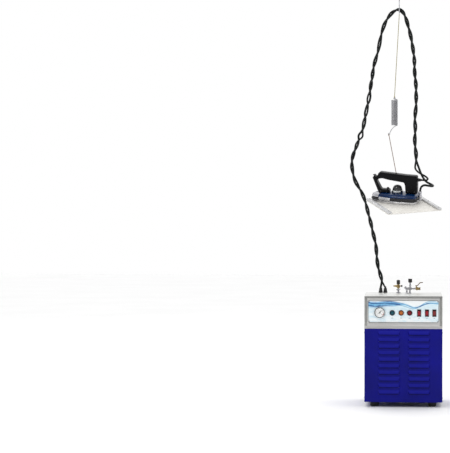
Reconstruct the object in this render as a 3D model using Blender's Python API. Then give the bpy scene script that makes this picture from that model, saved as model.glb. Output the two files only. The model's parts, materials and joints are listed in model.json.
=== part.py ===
"""Steam generator iron: a floor-standing steam generator, its electric steam iron on an iron rest,
and the hose and cable between them, which hang over an overhead hook.

Metres, +Z up, front towards -Y. The origin is on the floor under the middle of the generator.
"""

import math

import bmesh
import bpy
from mathutils import Matrix, Vector

# Generator cabinet
CABINET_WIDTH = 0.310
CABINET_FRONT = -0.170
CABINET_REAR = 0.156
FOOT_HEIGHT = 0.020
CASE_TOP = 0.3127
HEAD_TOP = 0.444
SHEET = 0.0015
GAP = 0.0003
FOOT_X = 0.1152
FOOT_Y = 0.125

# Louvres of the front panel
LOUVRE_COLUMNS = (-0.0576, 0.0620)
LOUVRE_ROWS = 10
LOUVRE_PITCH = 0.0262
LOUVRE_BOTTOM = 0.053
LOUVRE_HALF = 0.043
LOUVRE_HEIGHT = 0.015
LOUVRE_PROUD = 0.006

# Control plate and what is in it
PLATE_WIDTH = 0.284
PLATE_HEIGHT = 0.0910
PLATE_Z = 0.3825
PLATE_FRONT = CABINET_FRONT - GAP - SHEET
GAUGE_AT = (-0.0944, 0.3780)
GAUGE_RADIUS = 0.0208
PILOT_Z = 0.3768
PILOT_X = {"green": -0.0444, "amber": -0.0088, "red": 0.0248}
SWITCH_Z = 0.3764
SWITCH_X = (0.0624, 0.0936, 0.1228)
ROCKER_TILT = math.radians(7)

# Fittings on the top cover
VENT_AT = (-0.0207, 0.100)
MANIFOLD_Y = 0.065
MANIFOLD_LEGS = (0.0140, 0.0266)
MANIFOLD_Z = 0.4638
LEVER_X = 0.0527
HOSE_EXIT = (-0.0935, 0.125)
CABLE_EXIT = (-0.0745, 0.125)
EXIT_TOP = 0.4640

# Boiler inside the case
TANK_RADIUS = 0.092
TANK_AT = (-0.035, -0.005, 0.190)

# Iron, in its own frame: nose to -X, soleplate's bottom on z = 0
SOLE_LENGTH = 0.195
SOLE_WIDTH = 0.105
GRIP_HALF = 0.0165
IRON_AT = Vector((-0.035, 0.050, 0.8214))
IRON_YAW = math.radians(-13)
REST_TILT = math.radians(13)
REST_YAW = math.radians(20)
DIAL_X = 0.0105
VALVE_X = 0.1052
VALVE_TOP = 0.0475
BOOT_Z = 0.0945
BOOT_END = 0.1093
BUTTON_AT = Vector((-0.0850, 0.0, 0.1068))

# Suspension
HOOK_AT = Vector((-0.018, 0.020, 1.602))
HOOK_BEND = 0.0155
HOOK_WIRE = 0.002
CEILING = 1.660
SPRING_RADIUS = 0.0135
SPRING_TOP = Vector((-0.0370, 0.020, 1.2460))
SPRING_FOOT = Vector((-0.0600, 0.021, 1.0960))

# Hose and cable
HOSE_RADIUS = 0.0045
CABLE_RADIUS = 0.00375
CORD_RADIUS = 0.0014
TWIST_RADIUS = 0.0066
TWIST_PITCH = 0.110
CORD_POINTS = 76
CORD_LEAD = 0.004
BUNDLE_ROUTE = (
    (-0.084, 0.125, 0.464), (-0.087, 0.125, 0.482), (-0.093, 0.125, 0.510), (-0.103, 0.124, 0.545),
    (-0.110, 0.124, 0.594), (-0.115, 0.123, 0.647), (-0.126, 0.122, 0.694), (-0.140, 0.121, 0.752),
    (-0.156, 0.120, 0.815), (-0.174, 0.119, 0.861), (-0.202, 0.116, 0.915), (-0.213, 0.112, 0.982),
    (-0.194, 0.106, 1.050), (-0.172, 0.102, 1.104), (-0.160, 0.097, 1.158), (-0.145, 0.088, 1.232),
    (-0.131, 0.076, 1.317), (-0.123, 0.067, 1.371), (-0.106, 0.055, 1.432), (-0.090, 0.040, 1.508),
    (-0.070, 0.028, 1.560), (-0.046, 0.022, 1.591), (-0.018, 0.020, 1.602), (0.007, 0.020, 1.572),
    (0.029, 0.020, 1.490), (0.041, 0.020, 1.420), (0.045, 0.020, 1.347), (0.050, 0.020, 1.285),
    (0.051, 0.020, 1.221), (0.046, 0.018, 1.165), (0.048, 0.014, 1.115), (0.045, 0.009, 1.068),
    (0.051, 0.001, 1.012), (0.051, -0.006, 0.972),
)
HOSE_TAIL = (
    (0.064, 0.005, 0.952), (0.071, 0.012, 0.934), (0.080, 0.023, 0.917), (0.090, 0.040, 0.904),
    (0.102, 0.054, 0.896), (0.114, 0.054, 0.890), (0.120, 0.040, 0.885), (0.114, 0.023, 0.883),
    (0.100, 0.013, 0.885), (0.085, 0.011, 0.887), (0.074, 0.0125, 0.882), (0.0690, 0.0145, 0.873),
)
CABLE_TAIL = (
    (0.047, -0.016, 0.957), (0.057, -0.025, 0.942), (0.073, -0.030, 0.931), (0.089, -0.025, 0.922),
    (0.098, -0.013, 0.913), (0.094, -0.003, 0.908), (0.084, 0.0020, 0.9070),
)


# ---------------------------------------------------------------- helpers

def clear_scene():
    for obj in list(bpy.data.objects):
        bpy.data.objects.remove(obj, do_unlink=True)


def material(name, colour, roughness, metallic=0.0):
    mat = bpy.data.materials.get(name) or bpy.data.materials.new(name)
    mat.use_nodes = True
    shader = mat.node_tree.nodes["Principled BSDF"]
    shader.inputs["Base Color"].default_value = (*colour, 1.0)
    shader.inputs["Roughness"].default_value = roughness
    shader.inputs["Metallic"].default_value = metallic
    mat.diffuse_color = (*colour, 1.0)
    return mat


def blue_paint():
    return material("blue_paint", (0.012, 0.015, 0.28), 0.35)


def stainless():
    return material("stainless", (0.62, 0.61, 0.60), 0.32, 1.0)


def chrome():
    return material("chrome", (0.80, 0.80, 0.82), 0.10, 1.0)


def brass():
    return material("brass", (0.72, 0.52, 0.22), 0.28, 1.0)


def rubber():
    return material("rubber", (0.012, 0.012, 0.012), 0.75)


def bakelite():
    return material("bakelite", (0.010, 0.010, 0.012), 0.30)


def black_plastic():
    return material("black_plastic", (0.015, 0.015, 0.016), 0.45)


def place(name, bm, mat, at=(0, 0, 0), turn=(0, 0, 0), parent=None):
    """An object from a bmesh, shaded smooth between sharp edges."""
    bmesh.ops.recalc_face_normals(bm, faces=bm.faces)
    mesh = bpy.data.meshes.new(name)
    bm.to_mesh(mesh)
    bm.free()
    mesh.shade_smooth()
    mesh.set_sharp_from_angle(angle=math.radians(32))
    mesh.materials.append(mat)
    obj = bpy.data.objects.new(name, mesh)
    bpy.context.collection.objects.link(obj)
    obj.location = at
    obj.rotation_euler = turn
    obj.parent = parent
    return obj


def copy_of(obj, name, at):
    twin = bpy.data.objects.new(name, obj.data)
    bpy.context.collection.objects.link(twin)
    twin.location = at
    twin.rotation_euler = obj.rotation_euler
    twin.parent = obj.parent
    return twin


def combine(obj, bm, operation):
    """A hidden tool that is cut from, or joined to, obj. The tool shares obj's frame."""
    tool = place(f"{obj.name}_tool", bm, obj.data.materials[0])
    tool.parent = obj
    tool.hide_render = True
    tool.display_type = "WIRE"
    boolean = obj.modifiers.new(operation.lower(), "BOOLEAN")
    boolean.object = tool
    boolean.operation = operation
    return obj


def cut(obj, bm):
    return combine(obj, bm, "DIFFERENCE")


def join(obj, bm):
    return combine(obj, bm, "UNION")


def soften(obj, width, segments=2, angle=40):
    bevel = obj.modifiers.new("bevel", "BEVEL")
    bevel.width = width
    bevel.segments = segments
    bevel.limit_method = "ANGLE"
    bevel.angle_limit = math.radians(angle)
    return obj


def loft(rings, cap=True, loop=False):
    """Rings of equal length bridged in order; cap closes both ends, loop joins the last to the first."""
    bm = bmesh.new()
    rows = [[bm.verts.new(p) for p in ring] for ring in rings]
    pairs = list(zip(rows, rows[1:])) + ([(rows[-1], rows[0])] if loop else [])
    count = len(rows[0])
    for low, high in pairs:
        for i in range(count):
            j = (i + 1) % count
            bm.faces.new((low[i], low[j], high[j], high[i]))
    if cap and not loop:
        bm.faces.new(rows[0])
        bm.faces.new(rows[-1])
    return bm


def box(low, high):
    (x0, y0, z0), (x1, y1, z1) = low, high
    ring = ((x0, y0), (x1, y0), (x1, y1), (x0, y1))
    return loft([[(x, y, z) for x, y in ring] for z in (z0, z1)])


def prism(outline, low, high, plane="xz"):
    """An outline in the named plane, extruded from low to high along the third axis."""
    order = {
        "xz": lambda a, b, t: (a, t, b),
        "yz": lambda a, b, t: (t, a, b),
        "xy": lambda a, b, t: (a, b, t),
    }[plane]
    return loft([[order(a, b, t) for a, b in outline] for t in (low, high)])


def circle(radius, z=0.0, count=24, centre=(0.0, 0.0)):
    step = 2 * math.pi / count
    return [
        (centre[0] + radius * math.cos(i * step), centre[1] + radius * math.sin(i * step), z)
        for i in range(count)
    ]


def turned(profile, count=24, loop=False, centre=(0.0, 0.0)):
    """A profile of (radius, height) turned about Z. A radius of 0 at an end is a point on the axis."""
    bm = bmesh.new()
    rows = []
    for radius, z in profile:
        if radius == 0:
            rows.append([bm.verts.new((*centre, z))])
        else:
            rows.append([bm.verts.new(p) for p in circle(radius, z, count, centre)])
    pairs = list(zip(rows, rows[1:])) + ([(rows[-1], rows[0])] if loop else [])
    for low, high in pairs:
        for i in range(count):
            j = (i + 1) % count
            corners = [low[i % len(low)], low[j % len(low)], high[j % len(high)], high[i % len(high)]]
            bm.faces.new(list(dict.fromkeys(corners)))
    for row in (rows[0], rows[-1]):
        if len(row) > 1 and not loop:
            bm.faces.new(row)
    return bm


def moved(bm, matrix):
    bmesh.ops.transform(bm, matrix=matrix, verts=bm.verts)
    return bm


def merged(*parts):
    """Separate bodies in one bmesh, for use as a Boolean tool."""
    bm = bmesh.new()
    for part in parts:
        bmesh.ops.recalc_face_normals(part, faces=part.faces)
        mesh = bpy.data.meshes.new("tool")
        part.to_mesh(mesh)
        part.free()
        bm.from_mesh(mesh)
        bpy.data.meshes.remove(mesh)
    return bm


def rod(start, end, radius, count=12):
    """A round bar between two points."""
    start, end = Vector(start), Vector(end)
    run = end - start
    turn = run.to_track_quat("Z", "Y").to_matrix().to_4x4()
    bar = turned([(radius, 0.0), (radius, run.length)], count)
    return moved(bar, Matrix.Translation(start) @ turn)


def rounded_rectangle(width, height, radius, steps=4):
    """Corner points of a rounded rectangle about the origin, anticlockwise."""
    points = []
    for quarter in range(4):
        cx = (width / 2 - radius) * (1 if quarter in (0, 3) else -1)
        cy = (height / 2 - radius) * (1 if quarter in (0, 1) else -1)
        for i in range(steps + 1):
            angle = math.radians(90 * quarter + 90 * i / steps)
            points.append((cx + radius * math.cos(angle), cy + radius * math.sin(angle)))
    return points


def smooth_route(points, count):
    """Evenly spaced points along a smooth curve through the given ones."""
    pts = [Vector(p) for p in points]
    pts = [2 * pts[0] - pts[1]] + pts + [2 * pts[-1] - pts[-2]]
    dense = []
    for a, b, c, d in zip(pts, pts[1:], pts[2:], pts[3:]):
        for i in range(20):
            t = i / 20
            dense.append(
                0.5 * (2 * b + (c - a) * t + (2 * a - 5 * b + 4 * c - d) * t**2
                       + (3 * b - a - 3 * c + d) * t**3)
            )
    dense.append(pts[-2])
    reach = [0.0]
    for p, q in zip(dense, dense[1:]):
        reach.append(reach[-1] + (q - p).length)
    result, k = [], 0
    for i in range(count):
        want = reach[-1] * i / (count - 1)
        while k < len(dense) - 2 and reach[k + 1] < want:
            k += 1
        share = (want - reach[k]) / (reach[k + 1] - reach[k])
        result.append(dense[k].lerp(dense[k + 1], min(max(share, 0.0), 1.0)))
    return result


def tube(name, points, radius, mat, resolution=2):
    curve = bpy.data.curves.new(name, "CURVE")
    curve.dimensions = "3D"
    spline = curve.splines.new("POLY")
    spline.points.add(len(points) - 1)
    for target, p in zip(spline.points, points):
        target.co = (*p, 1.0)
    curve.bevel_depth = radius
    curve.bevel_resolution = resolution
    curve.use_fill_caps = True
    curve.materials.append(mat)
    obj = bpy.data.objects.new(name, curve)
    bpy.context.collection.objects.link(obj)
    return obj


# ---------------------------------------------------------------- cabinet

def feet():
    profile = [
        (0, 0.0), (0.0125, 0.0), (0.0152, 0.0014), (0.0166, 0.0045), (0.0180, FOOT_HEIGHT), (0, FOOT_HEIGHT)
    ]
    places = {
        "foot_front_left": (-FOOT_X, -FOOT_Y, 0),
        "foot_front_right": (FOOT_X, -FOOT_Y, 0),
        "foot_rear_left": (-FOOT_X, FOOT_Y, 0),
        "foot_rear_right": (FOOT_X, FOOT_Y, 0),
    }
    first = None
    for name, at in places.items():
        if first is None:
            first = place(name, turned(profile), rubber(), at)
        else:
            copy_of(first, name, at)


def base_pan():
    half = CABINET_WIDTH / 2 - SHEET - GAP
    y0, y1 = CABINET_FRONT + SHEET + GAP, CABINET_REAR - SHEET - GAP
    z0 = FOOT_HEIGHT + GAP
    pan = place("base_pan", box((-half, y0, z0), (half, y1, z0 + 0.014)), blue_paint())
    cut(pan, box((-half + SHEET, y0 + SHEET, z0 + SHEET), (half - SHEET, y1 - SHEET, z0 + 0.02)))


def louvre(x, z, inset, back, drop):
    """A pressed hood, open downwards. inset shrinks it, for the hollow; back and drop carry it on."""
    half = LOUVRE_HALF - inset
    slope = 0.005
    face = CABINET_FRONT
    top = z + LOUVRE_HEIGHT - inset
    low = z - drop
    lip = face - LOUVRE_PROUD + inset
    rings = []
    for y, top_z, side in (
        (face + back, top, half),
        (face, top, half),
        (face - 0.6 * LOUVRE_PROUD + inset * 0.6, z + 0.62 * LOUVRE_HEIGHT - inset, half - 0.5 * slope),
        (lip, z + 0.25 * LOUVRE_HEIGHT - inset, half - slope),
    ):
        rings.append([(x - side, y, low), (x + side, y, low), (x + side, y, top_z), (x - side, y, top_z)])
    return loft(rings)


def front_panel():
    half = CABINET_WIDTH / 2
    sheet = box((-half, CABINET_FRONT, FOOT_HEIGHT), (half, CABINET_FRONT + SHEET, CASE_TOP))
    panel = place("front_panel", sheet, blue_paint())
    places = [(x, LOUVRE_BOTTOM + row * LOUVRE_PITCH) for x in LOUVRE_COLUMNS for row in range(LOUVRE_ROWS)]
    join(panel, merged(*[louvre(x, z, 0.0, SHEET / 2, 0.0) for x, z in places]))
    cut(panel, merged(*[louvre(x, z, 0.0011, 0.004, 0.0008) for x, z in places]))


def side_and_rear_panels():
    half = CABINET_WIDTH / 2
    y0, y1 = CABINET_FRONT + SHEET + GAP, CABINET_REAR - SHEET - GAP
    for name, x in (("left_side_panel", -half), ("right_side_panel", half - SHEET)):
        place(name, box((x, y0, FOOT_HEIGHT), (x + SHEET, y1, CASE_TOP)), blue_paint())
    rear = box((-half, CABINET_REAR - SHEET, FOOT_HEIGHT), (half, CABINET_REAR, CASE_TOP))
    rear = place("rear_panel", rear, blue_paint())
    holes = [
        rod((x, CABINET_REAR - 0.01, z), (x, CABINET_REAR + 0.01, z), r, 20)
        for x, z, r in ((-0.105, 0.075, 0.0095), (0.105, 0.075, 0.0105), (0.0, 0.060, 0.0095))
    ]
    cut(rear, merged(*holes))


def control_head():
    half = CABINET_WIDTH / 2
    z0, z1 = CASE_TOP + GAP, HEAD_TOP - SHEET - GAP
    shell = place("control_head", box((-half, CABINET_FRONT, z0), (half, CABINET_REAR, z1)), stainless())
    inner = box(
        (-half + SHEET, CABINET_FRONT + SHEET, z0 - 0.01), (half - SHEET, CABINET_REAR - SHEET, z1 + 0.01)
    )
    cut(shell, inner)
    window = prism(
        [(x, z + PLATE_Z) for x, z in rounded_rectangle(PLATE_WIDTH - 0.016, PLATE_HEIGHT - 0.016, 0.006)],
        CABINET_FRONT - 0.01, CABINET_FRONT + 0.01,
    )
    cut(shell, window)


def control_plate():
    outline = [(x, z + PLATE_Z) for x, z in rounded_rectangle(PLATE_WIDTH, PLATE_HEIGHT, 0.007)]
    plate = prism(outline, PLATE_FRONT, PLATE_FRONT + SHEET)
    plate = place("control_plate", plate, material("label", (0.72, 0.86, 0.93), 0.35))
    y0, y1 = PLATE_FRONT - 0.01, PLATE_FRONT + 0.01
    holes = [rod((GAUGE_AT[0], y0, GAUGE_AT[1]), (GAUGE_AT[0], y1, GAUGE_AT[1]), 0.0175, 24)]
    holes += [rod((x, y0, PILOT_Z), (x, y1, PILOT_Z), 0.0092, 20) for x in PILOT_X.values()]
    holes += [
        box((x - 0.0069, y0, SWITCH_Z - 0.0134), (x + 0.0069, y1, SWITCH_Z + 0.0134)) for x in SWITCH_X
    ]
    cut(plate, merged(*holes))


def top_cover():
    half = CABINET_WIDTH / 2
    z0 = HEAD_TOP - SHEET
    sheet = prism(
        [(x, y + (CABINET_FRONT + CABINET_REAR) / 2)
         for x, y in rounded_rectangle(2 * half, CABINET_REAR - CABINET_FRONT, 0.003, 2)],
        z0, HEAD_TOP, "xy",
    )
    cover = place("top_cover", sheet, stainless())
    spots = [(*VENT_AT, 0.0046)] + [(x, MANIFOLD_Y, 0.0041) for x in MANIFOLD_LEGS]
    spots += [(*HOSE_EXIT, 0.0056), (*CABLE_EXIT, 0.0056)]
    cut(cover, merged(*[rod((x, y, z0 - 0.01), (x, y, z0 + 0.01), r, 16) for x, y, r in spots]))


# ---------------------------------------------------------------- instruments
# Each is built with its axis on local Z and its front face up, then turned to face -Y.

FACING = (math.pi / 2, 0, 0)


def pressure_gauge():
    at = (GAUGE_AT[0], PLATE_FRONT, GAUGE_AT[1])
    rim = GAUGE_RADIUS
    case = [
        (0, -0.028), (0.0170, -0.028), (0.0170, GAP), (rim, GAP), (rim, 0.0070), (rim - 0.0008, 0.0078),
        (rim - 0.0021, 0.0078), (rim - 0.0021, 0.0020), (0, 0.0020),
    ]
    place("gauge_case", turned(case, 32), material("gauge_white", (0.85, 0.86, 0.85), 0.4), at, FACING)
    needle = [(-0.0060, -0.0009), (0.0, -0.0016), (0.0148, -0.0002), (0.0148, 0.0002), (0.0, 0.0016),
              (-0.0060, 0.0009)]
    needle = place("gauge_needle", prism(needle, 0.0030, 0.0036, "xy"), black_plastic(), at, FACING)
    join(needle, turned([(0.0020, 0.0024), (0.0020, 0.0050)], 12))
    needle.rotation_euler = (math.pi / 2, math.radians(-42), 0)
    lens = turned([(0, 0.0060), (rim - 0.0025, 0.0060), (rim - 0.0025, 0.0070), (0, 0.0076)], 32)
    place("gauge_lens", lens, material("clear_lens", (0.9, 0.95, 0.95), 0.05), at, FACING)


def pilot_lights():
    colours = {"green": (0.0, 0.16, 0.14), "amber": (0.75, 0.25, 0.02), "red": (0.35, 0.0, 0.01)}
    profile = [
        (0, -0.024), (0.0088, -0.024), (0.0088, GAP), (0.0110, GAP), (0.0110, 0.0022), (0.0098, 0.0030),
        (0.0090, 0.0052), (0.0066, 0.0074), (0.0034, 0.0085), (0, 0.0088),
    ]
    for colour, x in PILOT_X.items():
        lamp = material(f"pilot_{colour}", colours[colour], 0.2)
        place(f"pilot_light_{colour}", turned(profile), lamp, (x, PLATE_FRONT, PILOT_Z), FACING)


def rocker_switches():
    """Each switch is a housing open at the front, with a rocker pivoted across it."""
    valley, crest, half = 0.0022, 0.0048, 0.0116
    rocker = [(-half, crest), (-half + 0.0004, -0.0045), (-0.004, -0.0080), (0.004, -0.0080),
              (half - 0.0004, -0.0045), (half, crest), (0, valley)]
    for number, x in enumerate(SWITCH_X, 1):
        at = (x, PLATE_FRONT, SWITCH_Z)
        housing = box((-0.0066, -0.0130, -0.020), (0.0066, 0.0130, 0.001))
        housing = place(f"switch_housing_{number}", housing, black_plastic(), at, FACING)
        join(housing, box((-0.0078, -0.0143, GAP), (0.0078, 0.0143, 0.0022)))
        cut(housing, box((-0.0060, -0.0125, -0.016), (0.0060, 0.0125, 0.01)))
        body = prism(rocker, -0.0056, 0.0056, "yz")
        pivot = moved(body, Matrix.Translation((0, 0, 0.002)))
        rocker_at = (x, PLATE_FRONT + 0.002, SWITCH_Z)
        tone = material("rocker_red", (0.45, 0.01, 0.02), 0.3)
        place(f"rocker_{number}", pivot, tone, rocker_at, (math.pi / 2 + ROCKER_TILT, 0, 0))


# ---------------------------------------------------------------- inside the case

def boiler():
    """A horizontal tank with an opening at the rear, and the heater's flange that closes it."""
    r, wall = TANK_RADIUS, 0.003
    end = [(r, 0.100), (r - 0.004, 0.116), (0.060, 0.128), (0, 0.132)]
    outer = [(0, -0.130), (0.074, -0.126), (r - 0.004, -0.116), (r, -0.100)] + end
    tank = place("boiler_tank", turned(outer, 32), stainless(), TANK_AT, FACING)
    hollow = [(0, -0.140), (0.038, -0.140), (0.038, -0.124), (0.073, -0.123), (r - 0.0065, -0.113),
              (r - wall, -0.099), (r - wall, 0.099), (r - 0.0065, 0.113), (0.059, 0.125), (0, 0.129)]
    cut(tank, turned(hollow, 32))
    flange = [(0, 0.0), (0.030, 0.0), (0.030, -0.1303), (0.056, -0.1303), (0.056, -0.1383),
              (0.020, -0.1383), (0.020, -0.1460), (0, -0.1460)]
    place("heater_flange", turned(flange), stainless(), TANK_AT, FACING)


def boiler_cradle():
    x, y, z = TANK_AT
    low = FOOT_HEIGHT + 2 * GAP + SHEET
    cradle = place(
        "boiler_cradle", box((x - 0.075, y - 0.095, low), (x + 0.075, y + 0.095, 0.135)), stainless()
    )
    cut(cradle, box((x - 0.09, y - 0.091, low + 0.002), (x + 0.09, y + 0.091, 0.20)))
    cut(cradle, rod((x, y - 0.15, z), (x, y + 0.15, z), TANK_RADIUS + GAP, 40))


def feed_pump():
    centre = Vector((0.112, 0.070, 0.058))
    low = centre + Vector((-0.028, -0.030, -0.034))
    pump = place("feed_pump", box(low, centre + Vector((0.028, 0.030, 0.024))), black_plastic())
    join(pump, rod(centre + Vector((0, -0.075, 0)), centre + Vector((0, -0.02, 0)), 0.022, 20))
    join(pump, rod(centre, centre + Vector((0, 0, 0.045)), 0.007))


def contactor():
    body = box((0.118, -0.060, 0.190), (0.1530, 0.010, 0.270))
    unit = soften(place("contactor", body, material("contactor_grey", (0.5, 0.5, 0.48), 0.5)), 0.002)
    cut(unit, merged(*[box((0.110, y, 0.255), (0.130, y + 0.012, 0.280)) for y in (-0.052, -0.031, -0.010)]))


def rear_fittings():
    y = CABINET_REAR
    turn = (-math.pi / 2, 0, 0)
    gland = [(0, -0.022), (0.0090, -0.022), (0.0090, GAP), (0.0135, GAP), (0.0135, 0.007), (0.0110, 0.008),
             (0.0110, 0.017), (0.0085, 0.0246), (0.0052, 0.0246), (0.0052, 0.002), (0, 0.002)]
    place("mains_gland", turned(gland, 20), black_plastic(), (-0.105, y, 0.075), turn)
    inlet = [(0, -0.020), (0.0100, -0.020), (0.0100, GAP), (0.0150, GAP), (0.0150, 0.005), (0.0105, 0.006),
             (0.0105, 0.0246), (0.0075, 0.0246), (0.0075, 0.002), (0, 0.002)]
    place("water_inlet", turned(inlet, 20), brass(), (0.105, y, 0.075), turn)
    plug = [(0, -0.020), (0.0090, -0.020), (0.0090, GAP), (0.0130, GAP), (0.0130, 0.004), (0.0095, 0.005),
            (0.0095, 0.016), (0, 0.016)]
    place("drain_plug", turned(plug, 6), brass(), (0.0, y, 0.060), turn)


# ---------------------------------------------------------------- top fittings

def vent_valve():
    x, y = VENT_AT
    stem = [(0, 0.425), (0.0040, 0.425), (0.0040, HEAD_TOP + GAP), (0.0095, HEAD_TOP + GAP),
            (0.0095, 0.4468), (0.0052, 0.4478), (0.0040, 0.4500), (0.0040, 0.4630), (0, 0.4630)]
    place("vent_nipple", turned(stem, 20, centre=(x, y)), chrome())
    body = [(0, 0.4633), (0.0052, 0.4633), (0.0066, 0.4655), (0.0070, 0.4700), (0.0066, 0.4750),
            (0.0046, 0.4780), (0.0046, 0.4795), (0, 0.4795)]
    body = place("vent_body", turned(body, 20, centre=(x, y)), brass())
    z = 0.4725
    arm = turned([(0.0046, 0.0), (0.0042, 0.010), (0.0022, 0.0195), (0.0010, 0.0212)], 14)
    join(body, moved(arm, Matrix.Translation((x, y, z)) @ Matrix.Rotation(-math.pi / 2, 4, "Y")))
    join(body, rod((x, y, z), (x + 0.0098, y, z), 0.0026))
    cap = [(0, 0.4798), (0.0066, 0.4798), (0.0072, 0.4812), (0.0072, 0.4942), (0.0062, 0.4966),
           (0.0034, 0.4976), (0, 0.4980)]
    cap = [(r, height - 0.4798) for r, height in cap]
    place("vent_cap", turned(cap, 20), black_plastic(), (x, y, 0.4798))
    knob = [(0, 0.0), (0.0030, 0.0), (0.0036, 0.0016), (0.0044, 0.0026), (0.0044, 0.0056),
            (0.0034, 0.0066), (0, 0.0066)]
    place("vent_side_knob", turned(knob, 16), black_plastic(), (x + 0.0101, y, z), (0, math.pi / 2, 0))


def manifold():
    y, z = MANIFOLD_Y, MANIFOLD_Z
    body = place("manifold_body", rod((0.0085, y, z), (0.0345, y, z), 0.0056, 16), chrome())
    for x in MANIFOLD_LEGS:
        leg = [(0.0036, 0.425), (0.0036, HEAD_TOP + GAP), (0.0062, HEAD_TOP + GAP), (0.0062, 0.4466),
               (0.0036, 0.4476), (0.0036, z)]
        join(body, turned(leg, 14, centre=(x, y)))
    join(body, rod((0.030, y, z), (0.0495, y, z), 0.0040, 14))
    stem = [(0.0034, z), (0.0034, 0.4740), (0.0050, 0.4750), (0.0050, 0.4780), (0.0034, 0.4790),
            (0.0034, 0.4885)]
    join(body, turned(stem, 14, centre=(0.0276, y)))
    elbow = rod((0.0105, y, z), (0.0062, y, z + 0.0075), 0.0052, 14)
    join(body, elbow)
    knob = rounded_rectangle(0.0160, 0.0160, 0.003, 3)
    knob = prism(knob, 0.0, 0.0150, "xy")
    knob = place("manifold_knob", knob, black_plastic(), (0.0276, y, 0.4888))
    soften(knob, 0.0012, 2)


def ball_valve():
    y, z = MANIFOLD_Y, MANIFOLD_Z - 0.0005
    profile = [(0, 0.0), (0.0050, 0.0), (0.0050, 0.0015), (0.0066, 0.0030), (0.0066, 0.0080),
               (0.0056, 0.0100), (0.0052, 0.0150), (0.0060, 0.0160), (0.0060, 0.0195), (0.0036, 0.0195),
               (0.0036, 0.0120), (0, 0.0120)]
    to_x = Matrix.Translation((0.0498, y, z)) @ Matrix.Rotation(math.pi / 2, 4, "Y")
    body = place("ball_valve_body", moved(turned(profile, 18), to_x), brass())
    join(body, turned([(0.0026, z), (0.0026, 0.4740)], 12, centre=(LEVER_X, y)))
    thick = 0.0032
    top = [(-0.0040, 0.0), (0.0042, 0.0), (0.0140, 0.0118), (0.0268, 0.0132)]
    under = [(a + (0.0013 if 0 < i < 3 else 0.0), b - thick) for i, (a, b) in enumerate(top)]
    lever = prism(top + under[::-1], -0.0036, 0.0036)
    lever = moved(lever, Matrix.Translation((0, 0, thick)))
    place("ball_valve_lever", lever, material("lever_tan", (0.30, 0.22, 0.14), 0.4), (LEVER_X, y, 0.4743))


def exit_glands():
    for name, (x, y), bore in (("hose_gland", HOSE_EXIT, 0.0050), ("cable_gland", CABLE_EXIT, 0.0050)):
        profile = [(0, 0.432), (0.0050, 0.432), (0.0050, HEAD_TOP + GAP), (0.0084, HEAD_TOP + GAP),
                   (0.0084, 0.4505), (0.0074, 0.4515), (0.0058, EXIT_TOP - GAP), (0, EXIT_TOP - GAP)]
        place(name, turned(profile, 18, centre=(x, y)), rubber())


# ---------------------------------------------------------------- iron and its rest

def sole_outline(inset, z, count=13):
    """The iron's boat-shaped outline, pulled in by inset, as one ring of points at height z."""
    half, nose = SOLE_WIDTH / 2, -SOLE_LENGTH / 2
    taper, corner = 0.74 * SOLE_LENGTH, 0.016
    side = []
    for i in range(1, count):
        u = 1 - math.cos(math.pi / 2 * i / (count - 1))
        x = nose + taper * u
        width = half * (1 - (1 - u) ** 2) ** 0.72
        side.append((x, width))
    tail = SOLE_LENGTH / 2 - corner
    for i in range(5):
        angle = math.pi / 2 * (1 - i / 4)
        side.append((tail + corner * math.cos(angle), half - corner + corner * math.sin(angle)))
    ring = [(nose, 0.0)] + side + [(x, -y) for x, y in reversed(side)]
    shrink_x, shrink_y = 1 - inset / (SOLE_LENGTH / 2), 1 - inset / half
    return [(x * shrink_x, y * shrink_y, z) for x, y in ring]


def iron_frame():
    frame = bpy.data.objects.new("iron_frame", None)
    bpy.context.collection.objects.link(frame)
    frame.matrix_world = (
        Matrix.Translation(IRON_AT) @ Matrix.Rotation(REST_TILT, 4, "X") @ Matrix.Rotation(IRON_YAW, 4, "Z")
    )
    return frame


def iron_base(frame):
    rings = [sole_outline(0.0015, 0.0), sole_outline(0.0, 0.0012), sole_outline(0.0, 0.0085),
             sole_outline(0.0012, 0.0098)]
    place("iron_soleplate", loft(rings), material("sole", (0.75, 0.75, 0.76), 0.25, 1.0), parent=frame)
    rings = [sole_outline(0.0008, 0.0101), sole_outline(0.0004, 0.0160), sole_outline(0.0020, 0.0166)]
    place("iron_skirt", loft(rings), black_plastic(), parent=frame)
    wall = 0.0018
    levels = [(0.0026, 0.0169), (0.0030, 0.0240), (0.0058, 0.0310), (0.0110, 0.0355), (0.0190, 0.0372)]
    outer = [sole_outline(inset, z) for inset, z in levels]
    inner = [sole_outline(inset + wall, z - wall) for inset, z in levels]
    blue = material("iron_blue", (0.010, 0.035, 0.13), 0.25)
    cover = place("iron_cover", loft(outer), blue, parent=frame)
    cut(cover, loft(inner))


def handle_outline():
    """Side outline of the handle: front post and foot, grip, rear block."""
    return [
        (-0.0660, 0.0378), (-0.0905, 0.0985), (-0.0900, 0.1030), (-0.0800, 0.1046), (-0.0745, 0.1020),
        (-0.0690, 0.1110), (-0.0655, 0.1190), (-0.0590, 0.1228), (-0.0200, 0.1196), (0.0450, 0.1142),
        (0.0900, 0.1125), (0.0945, 0.1080), (0.0950, 0.0600), (0.0950, 0.0378), (0.0470, 0.0378),
        (0.0460, 0.0500), (0.0445, 0.0700), (0.0420, 0.0790), (0.0380, 0.0830), (0.0100, 0.0868),
        (-0.0250, 0.0915), (-0.0500, 0.0968), (-0.0640, 0.0945), (-0.0722, 0.0885), (-0.0715, 0.0830),
        (-0.0545, 0.0520), (-0.0240, 0.0520), (-0.0200, 0.0480), (-0.0200, 0.0378),
    ]


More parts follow.
